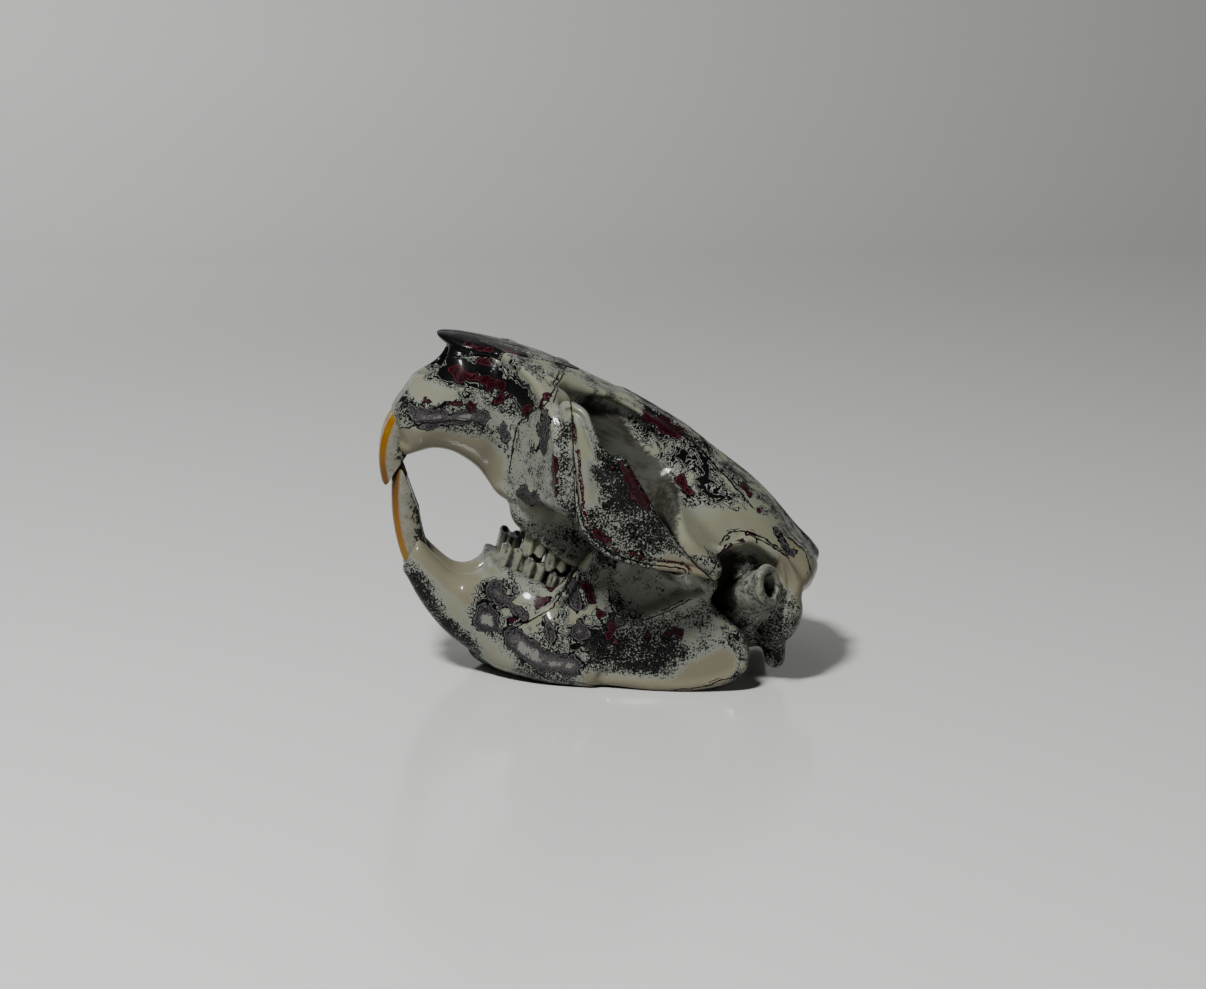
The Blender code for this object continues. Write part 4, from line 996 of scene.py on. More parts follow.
# %% Hollows and ridges
def hollowness(obj, rounds=14):
    """How far each point lies in a hollow, in millimetres, from the mesh smoothed that many times."""
    mesh = obj.data
    points = vertex_points(obj).astype(np.float64)
    edges = np.empty(len(mesh.edges) * 2, np.int64)
    mesh.edges.foreach_get("vertices", edges)
    a, b = edges.reshape(-1, 2).T
    count = np.bincount(np.concatenate([a, b]), minlength=len(points))[:, None]
    soft = points.copy()
    for _ in range(rounds):
        total = np.stack([np.bincount(a, soft[b, k], len(points)) + np.bincount(b, soft[a, k], len(points))
                          for k in range(3)], 1)
        soft = 0.4 * soft + 0.6 * total / np.maximum(count, 1)
    normals = np.empty(len(points) * 3, np.float32)
    mesh.vertex_normals.foreach_get("vector", normals)
    return ((soft - points) * normals.reshape(-1, 3)).sum(1)


def keep_values(obj, name, columns):
    """Keeps up to four numbers on each point, as one colour attribute."""
    values = np.zeros((len(obj.data.vertices), 4), np.float32)
    for k, column in enumerate(columns):
        values[:, k] = column
    layer = obj.data.attributes.new(name, "FLOAT_COLOR", "POINT")
    layer.data.foreach_set("color", values.ravel())

# %% Keeping the finish on the bones
NO_RIM = 9.0


def keep_finish(obj, coat, strokes, red, violet=(), lines=(), rim=NO_RIM):
    """Keeps on a bone all that its lacquer reads: coats, painted shade, patches, lines, hollows and a rim's
    distance.
    """
    points = vertex_points(obj)
    dark, speck, island, tan, painted_shade, streak = laid_coats(points, coat, strokes).T
    signed, near = signed_lines(points, lines)
    keep_values(obj, "coats", [dark, patch_depth(points, red), patch_depth(points, violet), speck])
    # The rubbed coats and the painted shade share one set of values
    keep_values(obj, "rubbed", [island, tan, painted_shade, near])
    keep_values(obj, "lines", [signed, rim, hollowness(obj), streak])
    print(f"{obj.name}: {len(strokes)} strokes on {len(points)} points")


keep_finish(cranium, CRANIUM_COAT, CRANIUM_STROKES, CRANIUM_RED, CRANIUM_VIOLET, CRANIUM_LINES)
keep_finish(nasal, NASAL_COAT, NASAL_STROKES, NASAL_RED)
# The cheekbone's front and lower rim is the first part of its outline
LOWER_RIM = CHEEKBONE_SIDE[:9]
rim_distance = stroke_distance(vertex_points(cheekbone), LOWER_RIM)
keep_finish(cheekbone, CHEEKBONE_COAT, CHEEKBONE_STROKES, CHEEKBONE_RED, rim=rim_distance)
keep_finish(jaw, JAW_COAT, JAW_STROKES, JAW_RED, JAW_VIOLET, JAW_LINES)

# %% [markdown]
# ## The sanded lacquer
# A sanded-through coat shows as nested bands, like the contours of a map, because the coats lie one over
# another. So the material makes one height from noise and the kept values, and cuts it into bands with
# steps: cream, a thin black edge, pale grey, black. Fine noise breaks the bands into specks. Crimson and
# violet lie over that, each with its own dark edge and pale inner line. One node group holds it all.

# %% Small helpers for nodes
def put(socket, value):
    """Links an input to an output, or sets its value. A colour is given without its alpha."""
    if isinstance(value, bpy.types.NodeSocket):
        socket.id_data.links.new(value, socket)
    elif socket.type == "RGBA":
        socket.default_value = (*value, 1)
    else:
        socket.default_value = value


def put_all(node, inputs):
    """Links or sets the inputs of a node, {name or number: output or value}."""
    for key, value in inputs.items():
        put(node.inputs[key], value)


def new_node(tree, kind, inputs, **settings):
    """A node with its settings and inputs."""
    node = tree.nodes.new(kind)
    for name, value in settings.items():
        setattr(node, name, value)
    put_all(node, inputs)
    return node

# %% Sums, colours and noise
def maths(tree, operation, *values):
    """One sum or the like of two values."""
    return new_node(tree, "ShaderNodeMath", dict(enumerate(values)), operation=operation).outputs[0]


def times(tree, a, b):
    """The product of two values."""
    return maths(tree, "MULTIPLY", a, b)


def blend(tree, amount, a, b):
    """Colour a where the amount is 0 and colour b where it is 1."""
    return new_node(tree, "ShaderNodeMix", {0: amount, 6: a, 7: b}, data_type="RGBA").outputs[2]


def rise(tree, value, low, high, to_low=0.0, to_high=1.0):
    """A smooth step from to_low to to_high as value goes from low to high."""
    numbers = dict(enumerate((value, low, high, to_low, to_high)))
    return new_node(tree, "ShaderNodeMapRange", numbers, interpolation_type="SMOOTHSTEP").outputs[0]


def noise(tree, at, scale, detail=2.0, roughness=0.5, warp=0.0):
    """Noise of about one feature in 1 / scale metres, centred on zero."""
    inputs = {"Vector": at, "Scale": scale, "Detail": detail, "Roughness": roughness, "Distortion": warp}
    return maths(tree, "SUBTRACT", new_node(tree, "ShaderNodeTexNoise", inputs).outputs[0], 0.5)

# %% Channels, sums and bands
def parted(tree, colour):
    """The three channels of a colour."""
    return tuple(new_node(tree, "ShaderNodeSeparateColor", {0: colour}).outputs)


def together(tree, operation, parts):
    """All the parts put together by one operation."""
    return functools.reduce(lambda a, b: maths(tree, operation, a, b), parts)


def weighted(tree, *pairs):
    """The sum of value times weight over the pairs."""
    return together(tree, "ADD", [times(tree, value, weight) for value, weight in pairs])


def band(tree, value, *spans):
    """1 where value lies inside one of the spans, (low, high, softness)."""
    masks = [
        times(tree, rise(tree, value, low - soft, low + soft), rise(tree, value, high + soft, high - soft))
        for low, high, soft in spans
    ]
    return together(tree, "MAXIMUM", masks)

# %% A node group with named sockets
def group_tree(name, kind, inputs, outputs):
    """A node group with sockets {label: type}, then its inputs and outputs as seen from inside."""
    tree = bpy.data.node_groups.new(name, kind)
    for way, sockets in (("INPUT", inputs), ("OUTPUT", outputs)):
        for label, socket in sockets.items():
            tree.interface.new_socket(label, in_out=way, socket_type="NodeSocket" + socket)
    return tree, tree.nodes.new("NodeGroupInput").outputs, tree.nodes.new("NodeGroupOutput").inputs

# %% The lacquer group
CREAM = (0.162, 0.162, 0.114)
TAN = (0.138, 0.126, 0.088)
PALE = (0.158, 0.166, 0.142)
BLACK = (0.0028, 0.0028, 0.003)
SOOT = (0.032, 0.033, 0.030)
CRIMSON = (0.021, 0.0008, 0.0028)
PINK = (0.056, 0.014, 0.020)
MAUVE = (0.080, 0.066, 0.070)
VIOLET = (0.031, 0.029, 0.031)
VIOLET_DOT = (0.064, 0.062, 0.063)
# Painted shade: a smooth dark grey laid in the orbit and other hollows, and its darker tone
PAINTED_SHADE = (0.041, 0.041, 0.035)
PAINTED_SHADE_DARK = (0.018, 0.017, 0.012)

tree, given, result = group_tree(
    "sanded lacquer", "ShaderNodeTree",
    {"Place": "Vector", "Coats": "Color", "Speck": "Float", "Rubbed": "Color", "Near line": "Float",
     "Lines": "Color", "Streak": "Float"},
    {"Colour": "Color", "Height": "Float", "Roughness": "Float", "Gloss": "Float"},
)
print("the lacquer is given:", ", ".join(socket.name for socket in given if socket.name))

# %% Noise at the sizes that the finish shows
place_at = given["Place"]
dark, red, violet = parted(tree, given["Coats"])
island, tan, painted_shade = parted(tree, given["Rubbed"])
line, rim, hollow = parted(tree, given["Lines"])
mottle = noise(tree, place_at, 55, 3, 0.6)
broad = noise(tree, place_at, 165, 1, 0.5, 0.6)
small = noise(tree, place_at, 420, 1, 0.5, 0.9)
grain = noise(tree, place_at, 2000, 2, 0.6)
dust = noise(tree, place_at, 4200, 1)
# Streaks run along the skull, so their noise is read in turned and stretched coordinates
along_skull = new_node(
    tree, "ShaderNodeMapping",
    {"Vector": place_at, "Rotation": (0, -REST_PITCH, 0), "Scale": (6.0, 1.0, 1.0)}, vector_type="TEXTURE")
streaks = noise(tree, along_skull.outputs[0], 700, 3, 0.6)
print("nodes for the noise:", len(tree.nodes))

# %% Light coats, black coats and the contour lines between them
# The height at which pale grey turns to black, and the thin lines in light and in black, by height
BLACK_FROM, BLACK_FULL = 0.485, 0.515
LINE_IN_LIGHT = (0.31, 0.375, 0.012)
LINES_IN_BLACK = ((0.62, 0.70, 0.012), (0.88, 0.94, 0.012))

# Hollows read higher, so black takes them sooner: partly the sanding that leaves coats in hollows, partly
# painted shade
smooth = weighted(tree, (weighted(tree, (broad, 1.9), (small, 1.1)), island), (hollow, 0.25),
                  (times(tree, streaks, given["Streak"]), 1.6), (dark, 1.0))
specks = times(tree, weighted(tree, (grain, 1.5), (dust, 0.5)), given["Speck"])
height = maths(tree, "ADD", smooth, specks)
light = blend(tree, rise(tree, smooth, 0.12, 0.34), CREAM, PALE)
dusty = rise(tree, weighted(tree, (mottle, 1.5), (tan, 1.0)), 0.15, 0.75)
light = blend(tree, times(tree, dusty, rise(tree, height, 0.42, 0.25)), light, TAN)
is_black = rise(tree, height, BLACK_FROM, BLACK_FULL)
ringed = rise(tree, island, 0.45, 0.75)
lines_at = weighted(tree, (smooth, 1.0), (specks, 0.25))
lines_in_light = times(tree, band(tree, lines_at, LINE_IN_LIGHT), ringed)
lines_in_black = times(tree, band(tree, lines_at, *LINES_IN_BLACK), ringed)
sooty = times(tree, rise(tree, dust, 0.08, 0.17), rise(tree, given["Speck"], 0.4, 1.2))
soot = blend(tree, sooty, BLACK, SOOT)
colour = blend(tree, maths(tree, "MAXIMUM", is_black, lines_in_light), light, soot)
colour = blend(tree, lines_in_black, colour, PALE)
print("nodes with the black and light coats:", len(tree.nodes))

# %% Violet and crimson coats over them
# The depths in millimetres at which the pale inner line and then the coat begin, and the dark rings in it
INNER_LINE = (0.44, 0.50)
COAT_ITSELF = (0.66, 0.72)
DARK_RINGS = ((1.15, 1.30, 0.05), (2.0, 2.12, 0.05))


def overlay(tree, below, depth, inner, core):
    """A further coat: a dark outline, a pale line inside it, then the coat, by its depth in millimetres."""
    level = weighted(tree, (depth, 1.0), (broad, 7.0), (small, 2.6), (grain, 0.6))
    edged = blend(tree, rise(tree, level, -0.04, 0.04), below, BLACK)
    edged = blend(tree, rise(tree, level, *INNER_LINE), edged, inner)
    core = blend(tree, band(tree, level, *DARK_RINGS), core, BLACK)
    return blend(tree, rise(tree, level, *COAT_ITSELF), edged, core), level


stippled = blend(tree, rise(tree, grain, 0.03, 0.12), VIOLET, VIOLET_DOT)
stippled = blend(tree, rise(tree, dust, -0.03, -0.10), stippled, BLACK)
deep_violet = rise(tree, maths(tree, "ADD", violet, broad), 0.9, 2.4)
stippled = blend(tree, times(tree, deep_violet, 0.6), stippled, MAUVE)
veined = blend(tree, rise(tree, grain, -0.02, -0.08), CRIMSON, BLACK)
vein = band(tree, weighted(tree, (small, 1.0), (grain, 0.45)), (0.018, 0.040, 0.006))
veined = blend(tree, vein, veined, PINK)
colour, violet_level = overlay(tree, colour, violet, MAUVE, stippled)
middle = rise(tree, weighted(tree, (violet_level, 1.0), (grain, 2.0)), 3.05, 3.15)
colour = blend(tree, times(tree, middle, 0.8), colour, PALE)
colour, red_level = overlay(tree, colour, red, PINK, veined)
print("nodes with violet and crimson:", len(tree.nodes))

# %% Painted shade in the orbit and other hollows, then rim and seam lines
# The lines beside a rim and a seam, by the distance from it in millimetres, (low, high, softness)
RIM_BLACK = ((1.2, 1.55, 0.06), (0.1, 0.35, 0.05))
RIM_RED = (2.2, 3.1, 0.10)
SEAM = (-0.20, 0.20, 0.06)
BESIDE_SEAM = (0.62, 0.82, 0.05)

# Painted shade in two tones broken by noise, where its channel is high
shade_tone = rise(tree, weighted(tree, (mottle, 1.0), (streaks, 0.7)), -0.12, 0.12)
painted_shade_amount = rise(tree, weighted(tree, (painted_shade, 1.0), (small, 0.8), (grain, 0.5)), 0.30, 0.70)
colour = blend(tree, painted_shade_amount, colour, blend(tree, shade_tone, PAINTED_SHADE_DARK, PAINTED_SHADE))
rim_at = weighted(tree, (rim, 1.0), (small, 1.2), (grain, 0.4))
colour = blend(tree, band(tree, rim_at, *RIM_BLACK), colour, BLACK)
broken = times(tree, rise(tree, broad, -0.14, -0.08), rise(tree, grain, -0.10, -0.04))
colour = blend(tree, times(tree, band(tree, rim_at, RIM_RED), broken), colour, veined)
line_at = weighted(tree, (line, 1.0), (small, 1.2), (grain, 0.3))
line_near = rise(tree, given["Near line"], 0.25, 0.55)
seam = times(tree, band(tree, line_at, SEAM), line_near)
beside = times(tree, band(tree, line_at, BESIDE_SEAM), line_near)
beside = times(tree, beside, rise(tree, broad, 0.0, 0.05))
colour = blend(tree, maths(tree, "MAXIMUM", seam, beside), colour, BLACK)
print("nodes with smoke and lines:", len(tree.nodes))

# %% What the lacquer gives out
relief = weighted(tree, (is_black, -0.35), (grain, 0.25), (seam, -1.2), (small, 0.5),
                  (rise(tree, red_level, 0.3, 0.7), -0.3))
roughness = weighted(tree, (rise(tree, grain, -0.15, 0.2, 0.24, 0.38), 1.0), (painted_shade, 0.3))
gloss = maths(tree, "SUBTRACT", 0.25, weighted(tree, (painted_shade_amount, 0.2), (is_black, 0.13)))
put(result["Colour"], colour)
put(result["Height"], relief)
put(result["Roughness"], roughness)
put(result["Gloss"], maths(tree, "MAXIMUM", gloss, 0.04))
LACQUER = tree
print("lacquer group with", len(tree.nodes), "nodes")

# %% The bone material
def value_of(tree, name):
    """The colour and the alpha of the values kept under that name."""
    node = new_node(tree, "ShaderNodeAttribute", {}, attribute_name=name)
    return node.outputs["Color"], node.outputs["Alpha"]


def object_place(tree):
    """Object coordinates, in which every pattern is read."""
    return tree.nodes.new("ShaderNodeTexCoord").outputs["Object"]


def new_material(name):
    """A material with its node tree and its shader."""
    material = bpy.data.materials.new(name)
    material.use_nodes = True
    return material, material.node_tree, material.node_tree.nodes["Principled BSDF"]


# How high the finest relief of the coats stands
COAT_RELIEF = 0.05 * MM
bone_finish, tree, shader = new_material("sanded lacquer on bone")
group = new_node(tree, "ShaderNodeGroup", {}, node_tree=LACQUER)
put(group.inputs["Place"], object_place(tree))
for name, colour_socket, alpha_socket in (("coats", "Coats", "Speck"), ("rubbed", "Rubbed", "Near line"),
                                          ("lines", "Lines", "Streak")):
    colour, alpha = value_of(tree, name)
    put_all(group, {colour_socket: colour, alpha_socket: alpha})
raised = new_node(tree, "ShaderNodeBump",
                  {"Distance": COAT_RELIEF, "Strength": 0.6, "Height": group.outputs["Height"]})
put_all(shader, {"Base Color": group.outputs["Colour"], "Roughness": group.outputs["Roughness"],
                 "Normal": raised.outputs["Normal"], "Coat Weight": group.outputs["Gloss"],
                 "Specular IOR Level": 0.05, "Coat Roughness": 0.08})
print("the bone material reads", group.node_tree.name)

# %% [markdown]
# ## Detailed front teeth
# The same arc and section as the model's, with many more points. Each point keeps its depth behind the
# front edge and its place along the tooth.

# %% Front teeth
INCISOR_RINGS = 90
SECTION_STEPS = 6


def smooth_incisor(name, arc, section, tip, side):
    """A closed front tooth with a fine section, and its depths kept for the finish."""
    fine = [tuple(p) for p in closed_curve(section, SECTION_STEPS)]
    rings, depths = incisor_rings(arc, fine, tip, side, INCISOR_RINGS)
    n = len(fine)
    points = [p for ring in rings for p in ring]
    faces = [[r * n + i, r * n + (i + 1) % n, (r + 1) * n + (i + 1) % n, (r + 1) * n + i]
             for r in range(len(rings) - 1) for i in range(n)]
    obj = mesh_object(name, points, faces)
    work = bmesh.new()
    work.from_mesh(obj.data)
    work.verts.ensure_lookup_table()
    caps = [work.faces.new([work.verts[k] for k in span])
            for span in (range(n - 1, -1, -1), range(len(points) - n, len(points)))]
    bmesh.ops.triangulate(work, faces=caps)
    bmesh.ops.recalc_face_normals(work, faces=work.faces)
    work.to_mesh(obj.data)
    work.free()
    keep_values(obj, "tooth", np.array(depths, np.float32).T)
    obj.data.shade_smooth()
    return obj


TEETH = []
for level, arc, section, tip in (("upper", UPPER_ARC, UPPER_SECTION, UPPER_TIP),
                                 ("lower", LOWER_ARC, LOWER_SECTION, LOWER_TIP)):
    for side, word in ((1, "left"), (-1, "right")):
        tooth = smooth_incisor(f"{level}_incisor_{word}_tooth", arc, section, tip, side)
        TEETH.append((tooth, f"{level}_incisor_{word}"))
print("front teeth:", len(TEETH))

# %% [markdown]
# ## Enamel and dentine
# The enamel front is stained orange, deepest near the tip, and the rest of the tooth is ivory. The colour
# changes within a millimetre at one depth behind the front, and noise moves that depth a little.

# %% Front tooth material
ENAMEL_ROOT = (0.18, 0.098, 0.006)
ENAMEL = (0.16, 0.068, 0.003)
ENAMEL_TIP = (0.085, 0.033, 0.002)
IVORY = (0.185, 0.178, 0.142)
IVORY_DULL = (0.15, 0.143, 0.112)
IVORY_FLECK = (0.10, 0.09, 0.065)
STAIN = (0.020, 0.018, 0.014)

tooth_finish, tree, shader = new_material("enamel and dentine")
depth, length, _ = parted(tree, value_of(tree, "tooth")[0])
at = object_place(tree)
soft = noise(tree, at, 300, 3)
orange = blend(tree, rise(tree, length, 0.55, 0.98), ENAMEL, ENAMEL_TIP)
orange = blend(tree, rise(tree, maths(tree, "ADD", length, soft), 0.2, 0.6), ENAMEL_ROOT, orange)
ivory = blend(tree, rise(tree, soft, -0.15, 0.15), IVORY, IVORY_DULL)
ivory = blend(tree, rise(tree, noise(tree, at, 1400, 2), 0.08, 0.2), ivory, IVORY_FLECK)
stain = weighted(tree, (depth, 0.08), (noise(tree, at, 620, 2, 0.5, 0.8), 1.0))
ivory = blend(tree, rise(tree, stain, 0.45, 0.50), ivory, STAIN)
edge = weighted(tree, (depth, 1.0), (soft, 0.8))
put_all(shader, {"Base Color": blend(tree, rise(tree, edge, 1.6, 2.5), orange, ivory),
                 "Roughness": rise(tree, soft, -0.2, 0.2, 0.14, 0.26),
                 "Specular IOR Level": 0.2, "Coat Weight": 0.2, "Coat Roughness": 0.1})
print("front tooth material with", len(tree.nodes), "nodes")

# %% [markdown]
# ## Cheek teeth
# A beaver grinds bark with four cheek teeth in each row. Each is a tall prism of two lobes with folds of
# enamel down its sides, worn flat into low ridges. One tooth is drawn as a field, and a Geometry Nodes
# tree then stands four of them along each row, each a little different, because what repeats along a path
# is easiest to change that way.

# %% One cheek tooth
TOOTH_PITCH = 7.1
TOOTH_CELL = 0.24


def cheek_tooth():
    """A tooth with its worn face at z = 0, its root below, its outer side at +Y and its front at +X."""
    g = Lattice((-4.6, -5.2, -12), (4.6, 5.2, 2.4), TOOTH_CELL)
    slim = along(g.z, {-12: 0.66, -8: 0.76, -4.5: 0.88, -1.5: 0.98, 1: 1.0})
    sides = None
    # The narrow neck between the two lobes comes first
    for middle, rx, ry in ((-0.1, 1.6, 2.3), (1.6, 1.7, 3.7), (-1.7, 1.4, 3.3)):
        dx, dy = (g.x - middle) / (rx * slim), g.y / (ry * slim)
        lobe = ((np.abs(dx) ** 3 + np.abs(dy) ** 3) ** (1 / 3) - 1) * rx
        sides = lobe if sides is None else join(sides, lobe, 0.35)
    for x, y in ((1.6, -4.0), (-1.7, -4.0), (1.9, 4.2)):
        sides = carve(sides, np.hypot(g.x - x, (g.y - y) * 0.7) - 0.62, 0.4)
    worn = g.z - 0.4 * np.cos(2 * math.pi * g.x / 3.6 - math.pi) - 0.16 * g.y - 0.12 * g.x
    tooth = overlap(overlap(sides, worn, 0.25), -11.4 - g.z, 0.6)
    for x in (1.8, -1.8):
        tooth = carve(tooth, ellipsoid(g, (x, 0.1, 0.35), (0.8, 2.4, 0.75)), 0.3)
    return bone_mesh("cheek_tooth", tooth, g)


tooth_pattern = cheek_tooth()
keep_values(tooth_pattern, "tooth", [hollowness(tooth_pattern, rounds=8), vertex_points(tooth_pattern)[:, 2]])

# %% The tree that stands teeth in a row
SIZE_SEED = 4


def tooth_row_tree():
    """The Geometry Nodes tree that stands a tooth at every pitch along an edge line."""
    tree, given, result = group_tree(
        "row of cheek teeth", "GeometryNodeTree",
        {"Geometry": "Geometry", "Tooth": "Object", "Pitch": "Float", "Lean": "Float", "Unevenness": "Float",
         "Finish": "Material"},
        {"Geometry": "Geometry"})

    def step(kind, inputs, output=0, **settings):
        """One output of a new node."""
        return new_node(tree, kind, inputs, **settings).outputs[output]

    curve = step("GeometryNodeMeshToCurve", {0: given["Geometry"]})
    spaced = step("GeometryNodeResampleCurve", {"Curve": curve, "Length": given["Pitch"]}, mode="LENGTH")
    pattern = step("GeometryNodeObjectInfo", {"Object": given["Tooth"]}, "Geometry")
    # Each tooth looks along the row and leans over
    along_row = step("FunctionNodeAlignRotationToVector", {"Vector": step("GeometryNodeInputTangent", {})},
                     axis="X", pivot_axis="Z")
    lean = step("FunctionNodeEulerToRotation", {0: step("ShaderNodeCombineXYZ", {"Y": given["Lean"]})})
    turn = step("FunctionNodeRotateRotation", {0: along_row, 1: lean}, rotation_space="LOCAL")
    # Every tooth differs a little in size
    least, most = (maths(tree, kind, 1.0, given["Unevenness"]) for kind in ("SUBTRACT", "ADD"))
    size = step("FunctionNodeRandomValue", {0: least, 1: most, "Seed": SIZE_SEED}, data_type="FLOAT_VECTOR")
    stood = step("GeometryNodeInstanceOnPoints",
                 {"Points": spaced, "Instance": pattern, "Rotation": turn, "Scale": size})
    real = step("GeometryNodeRealizeInstances", {0: stood})
    put(result[0], step("GeometryNodeSetMaterial", {"Geometry": real, "Material": given["Finish"]}))
    return tree


ROW_TREE = tooth_row_tree()
print("tooth row tree with", len(ROW_TREE.nodes), "nodes")

# %% [markdown]
# ## The four rows
# The rows curve outwards to the back, and the bite falls a little to the back too. The upper teeth are
# the same pattern turned over, and they lean the other way. The lower row starts further forward.

# %% Cheek tooth finish
CHEEK_BLOTCH = (0.115, 0.118, 0.095)
CHEEK_FLECK = (0.05, 0.045, 0.035)

cheek_finish, tree, shader = new_material("worn cheek teeth")
sunk, level, _ = parted(tree, value_of(tree, "tooth")[0])
at = object_place(tree)
blotch, fleck = noise(tree, at, 500, 3), noise(tree, at, 1500, 2)
body = blend(tree, rise(tree, blotch, -0.12, 0.12), CREAM, CHEEK_BLOTCH)
# Painted shade darkens the sunken folds of each tooth, broken by noise
shade_in_folds = weighted(tree, (sunk, 2.2), (fleck, 0.6), (blotch, 0.5))
body = blend(tree, rise(tree, shade_in_folds, 0.04, 0.2), body, PAINTED_SHADE_DARK)
worn = weighted(tree, (level, 0.35), (fleck, 1.5))
body = blend(tree, rise(tree, worn, 0.02, 0.12), body, CHEEK_FLECK)
put_all(shader, {"Base Color": body, "Roughness": rise(tree, fleck, -0.2, 0.2, 0.2, 0.4),
                 "Coat Weight": 0.4, "Coat Roughness": 0.12})
print("cheek tooth material with", len(tree.nodes), "nodes")

# %% Standing the teeth
# The height of the bite between the rows, by x
BITE = {24: 2.6, 18: 2.4, 10: 1.6, 0: 1.1, -10: 1.1}
BITE_HALF_GAP = 0.7
# A row's middle line runs from half a tooth behind its front to this many pitches behind it
ROW_LENGTH = 3.6
UNEVENNESS = 0.08


def row_of_teeth(name, front, side, lean):
    """One row on the left. side is 1 for the lower row and -1 for the upper one, which is upside down."""
    xs = np.linspace(front - ROW_LENGTH * TOOTH_PITCH, front - 0.5 * TOOTH_PITCH, 13)
    points = np.stack([xs, along(xs, ROW_MIDDLE), along(xs, BITE) - side * BITE_HALF_GAP], 1)
    points[:, 2] *= side
    row = mesh_object(name, points, [])
    row.data.edges.add(len(xs) - 1)
    ends = [k for i in range(len(xs) - 1) for k in (i, i + 1)]
    row.data.edges.foreach_set("vertices", ends)
    row.data.update()
    stand = row.modifiers.new("stand teeth", "NODES")
    stand.node_group = ROW_TREE
    values = {"Tooth": tooth_pattern, "Pitch": TOOTH_PITCH, "Lean": math.radians(lean),
              "Unevenness": UNEVENNESS, "Finish": cheek_finish}
    for item in ROW_TREE.interface.items_tree:
        if item.in_out == "INPUT" and item.name in values:
            stand[item.identifier] = values[item.name]
    apply_modifiers(row)
    if side < 0:
        row.data.transform(Matrix.Scale(-1, 4, (0, 0, 1)))
        row.data.flip_normals()
    row.data.shade_smooth()
    print(f"{name}: {len(row.data.polygons)} faces")
    return row


CHEEK_ROWS = [row_of_teeth("upper_cheek_teeth_left", 18.6, -1, -16.0),
              row_of_teeth("lower_cheek_teeth_left", 24.0, 1, 10.0)]
CHEEK_ROWS += [mirror_copy(row, row.name.replace("left", "right")) for row in CHEEK_ROWS]
bpy.data.objects.remove(tooth_pattern)

# %% [markdown]
# ## Dressing the pieces
# The imported model has a plain solid for each bone and each front tooth, and the fine piece made here takes
# its place. The cheek teeth are part of the bones in the solids, so their rows replace nothing. Nothing on
# the skull moves, so every piece rides on the one body.

# %% Place, dress and tie every piece to the skull
BONES = [(cranium, "cranium"), (cheekbone, "cheekbone_left"), (nasal, "nasal_left"), (jaw, "mandible_left")]
for obj, node in list(BONES[1:]):
    BONES.append((mirror_copy(obj, obj.name.replace("left", "right")), node.replace("left", "right")))


def register(obj, material, slot, *nodes):
    """Places a finished piece, gives it its one material and ties it to the skull."""
    place(obj)
    obj.data.materials.clear()
    obj.data.materials.append(material)
    if nodes:
        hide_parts(*nodes)
    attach(obj, "root")


for obj, node in BONES:
    register(obj, bone_finish, "bone", node)
for obj, node in TEETH:
    register(obj, tooth_finish, "incisor", node)
for obj in CHEEK_ROWS:
    register(obj, cheek_finish, "bone")
print("pieces:", len(BONES) + len(TEETH) + len(CHEEK_ROWS))

# %% [markdown]
# ## The sheet, the lamps and the camera
# The skull stands on a pale sheet that curves up behind it, so that no edge shows. A sheet is quickest to
# make from a few rows of points along a curve. One small lamp gives the soft-edged shadow and the bright
# spots on the lacquer, and wide ones fill it in. The camera's place follows from how large the skull is in
# the picture and where its origin lies there.

# %% Floor and light
WHITE, _, shader = new_material("pale paper")
put_all(shader, {"Base Color": (0.60, 0.61, 0.59), "Roughness": 0.14,
                 "Coat Weight": 0.25, "Coat Roughness": 0.2})
# The sheet: the radius of its bend, where that starts, how far it runs to the front and up, its half width
BEND, BEND_FROM = 0.8, -0.9
SHEET_FRONT, SHEET_TOP, SHEET_HALF = 1.6, 3.0, 2.5


def sweep_floor():
    """A pale sheet that runs back along the floor and curves up behind."""
    angles = np.linspace(0, math.pi / 2, 24)
    curve = [(BEND_FROM - BEND * math.sin(a), BEND * (1 - math.cos(a))) for a in angles]
    rows = [(SHEET_FRONT, 0.0), (0.4, 0.0)] + curve + [(BEND_FROM - BEND, SHEET_TOP)]
    points = [(x, y, z) for y, z in rows for x in (-SHEET_HALF, SHEET_HALF)]
    faces = [(2 * i + 2, 2 * i + 3, 2 * i + 1, 2 * i) for i in range(len(rows) - 1)]
    obj = mesh_object("paper sweep", points, faces)
    obj.data.shade_smooth()
    obj.data.materials.append(WHITE)


def area_light(name, at, towards, size, power):
    """A round lamp that faces a point."""
    light = bpy.data.lights.new(name, "AREA")
    light.shape = "DISK"
    light.size = size
    light.energy = power
    obj = in_scene(name, light)
    obj.location = at
    obj.rotation_euler = (Vector(towards) - Vector(at)).to_track_quat("-Z", "Y").to_euler()
    return obj


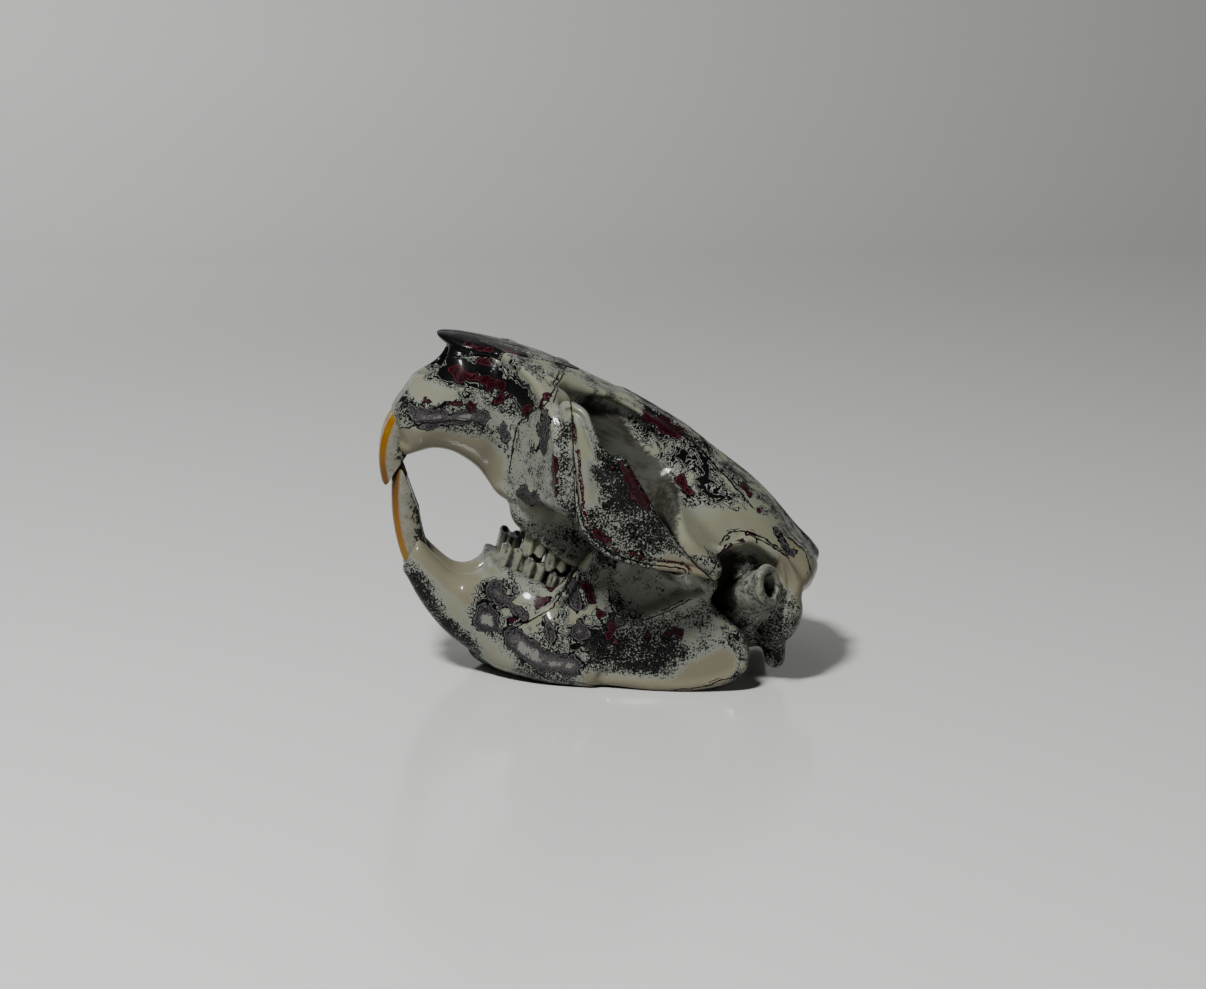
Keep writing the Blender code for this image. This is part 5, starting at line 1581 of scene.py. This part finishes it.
sweep_floor()
TARGET = Vector((0, 0, 0.04))
KEY_DIRECTION = Vector((0.38, 0.60, 1.0)).normalized()
KEY_DISTANCE = 1.1
area_light("key", TARGET + KEY_DISTANCE * KEY_DIRECTION, TARGET, 0.19, 20.0)
area_light("top", (0.5, -0.3, 2.2), (0, -0.5, 0), 1.6, 4.0)
area_light("fill", (-0.9, 0.7, 0.5), TARGET, 0.6, 0.6)
# A narrow light on the left keeps the back wall brighter on that side and misses the skull
glow = area_light("backdrop glow", (0.9, -0.2, 1.3), (0.5, -1.6, 0.2), 0.3, 3.6)
glow.data.spread = math.radians(70)
world = bpy.data.worlds.new("room")
bpy.context.scene.world = world
world.use_nodes = True
put_all(world.node_tree.nodes["Background"], {"Color": (1, 1, 1), "Strength": 0.05})
print("lamps:", ", ".join(light.name for light in bpy.data.lights))

# %% Camera
# How the photograph was taken: the camera's height and turn, its distance in millimetres, the picture's
# scale at the skull, its size, and the pixel at which the skull's own origin is seen
ELEVATION = math.radians(12.0)
TURN = math.radians(4.0)
DISTANCE = 800.0
PIXELS_PER_MM = 3.57
PICTURE = (1206, 989)
ORIGIN_PIXEL = (575, 578)
SENSOR = 36.0
right = np.array((-math.cos(TURN), math.sin(TURN), 0))
back = np.array((math.sin(TURN), math.cos(TURN), 0)) * math.cos(ELEVATION) + (0, 0, math.sin(ELEVATION))
up = np.cross(back, right)
across = (ORIGIN_PIXEL[0] - PICTURE[0] / 2) / PIXELS_PER_MM
above = (PICTURE[1] / 2 - ORIGIN_PIXEL[1]) / PIXELS_PER_MM
spot = (REST_SHIFT - right * across - up * above + back * DISTANCE) * MM
camera = bpy.data.cameras.new("camera")
camera.sensor_width = SENSOR
camera.lens = DISTANCE * PIXELS_PER_MM * SENSOR / PICTURE[0]
camera.clip_start = 0.01
camera_object = in_scene("camera", camera)
stand = Matrix((tuple(right), tuple(up), tuple(back))).transposed().to_4x4()
stand.translation = Vector(spot)
camera_object.matrix_world = stand
bpy.context.scene.camera = camera_object
print("camera at", spot.round(4), "lens", round(camera.lens, 2))
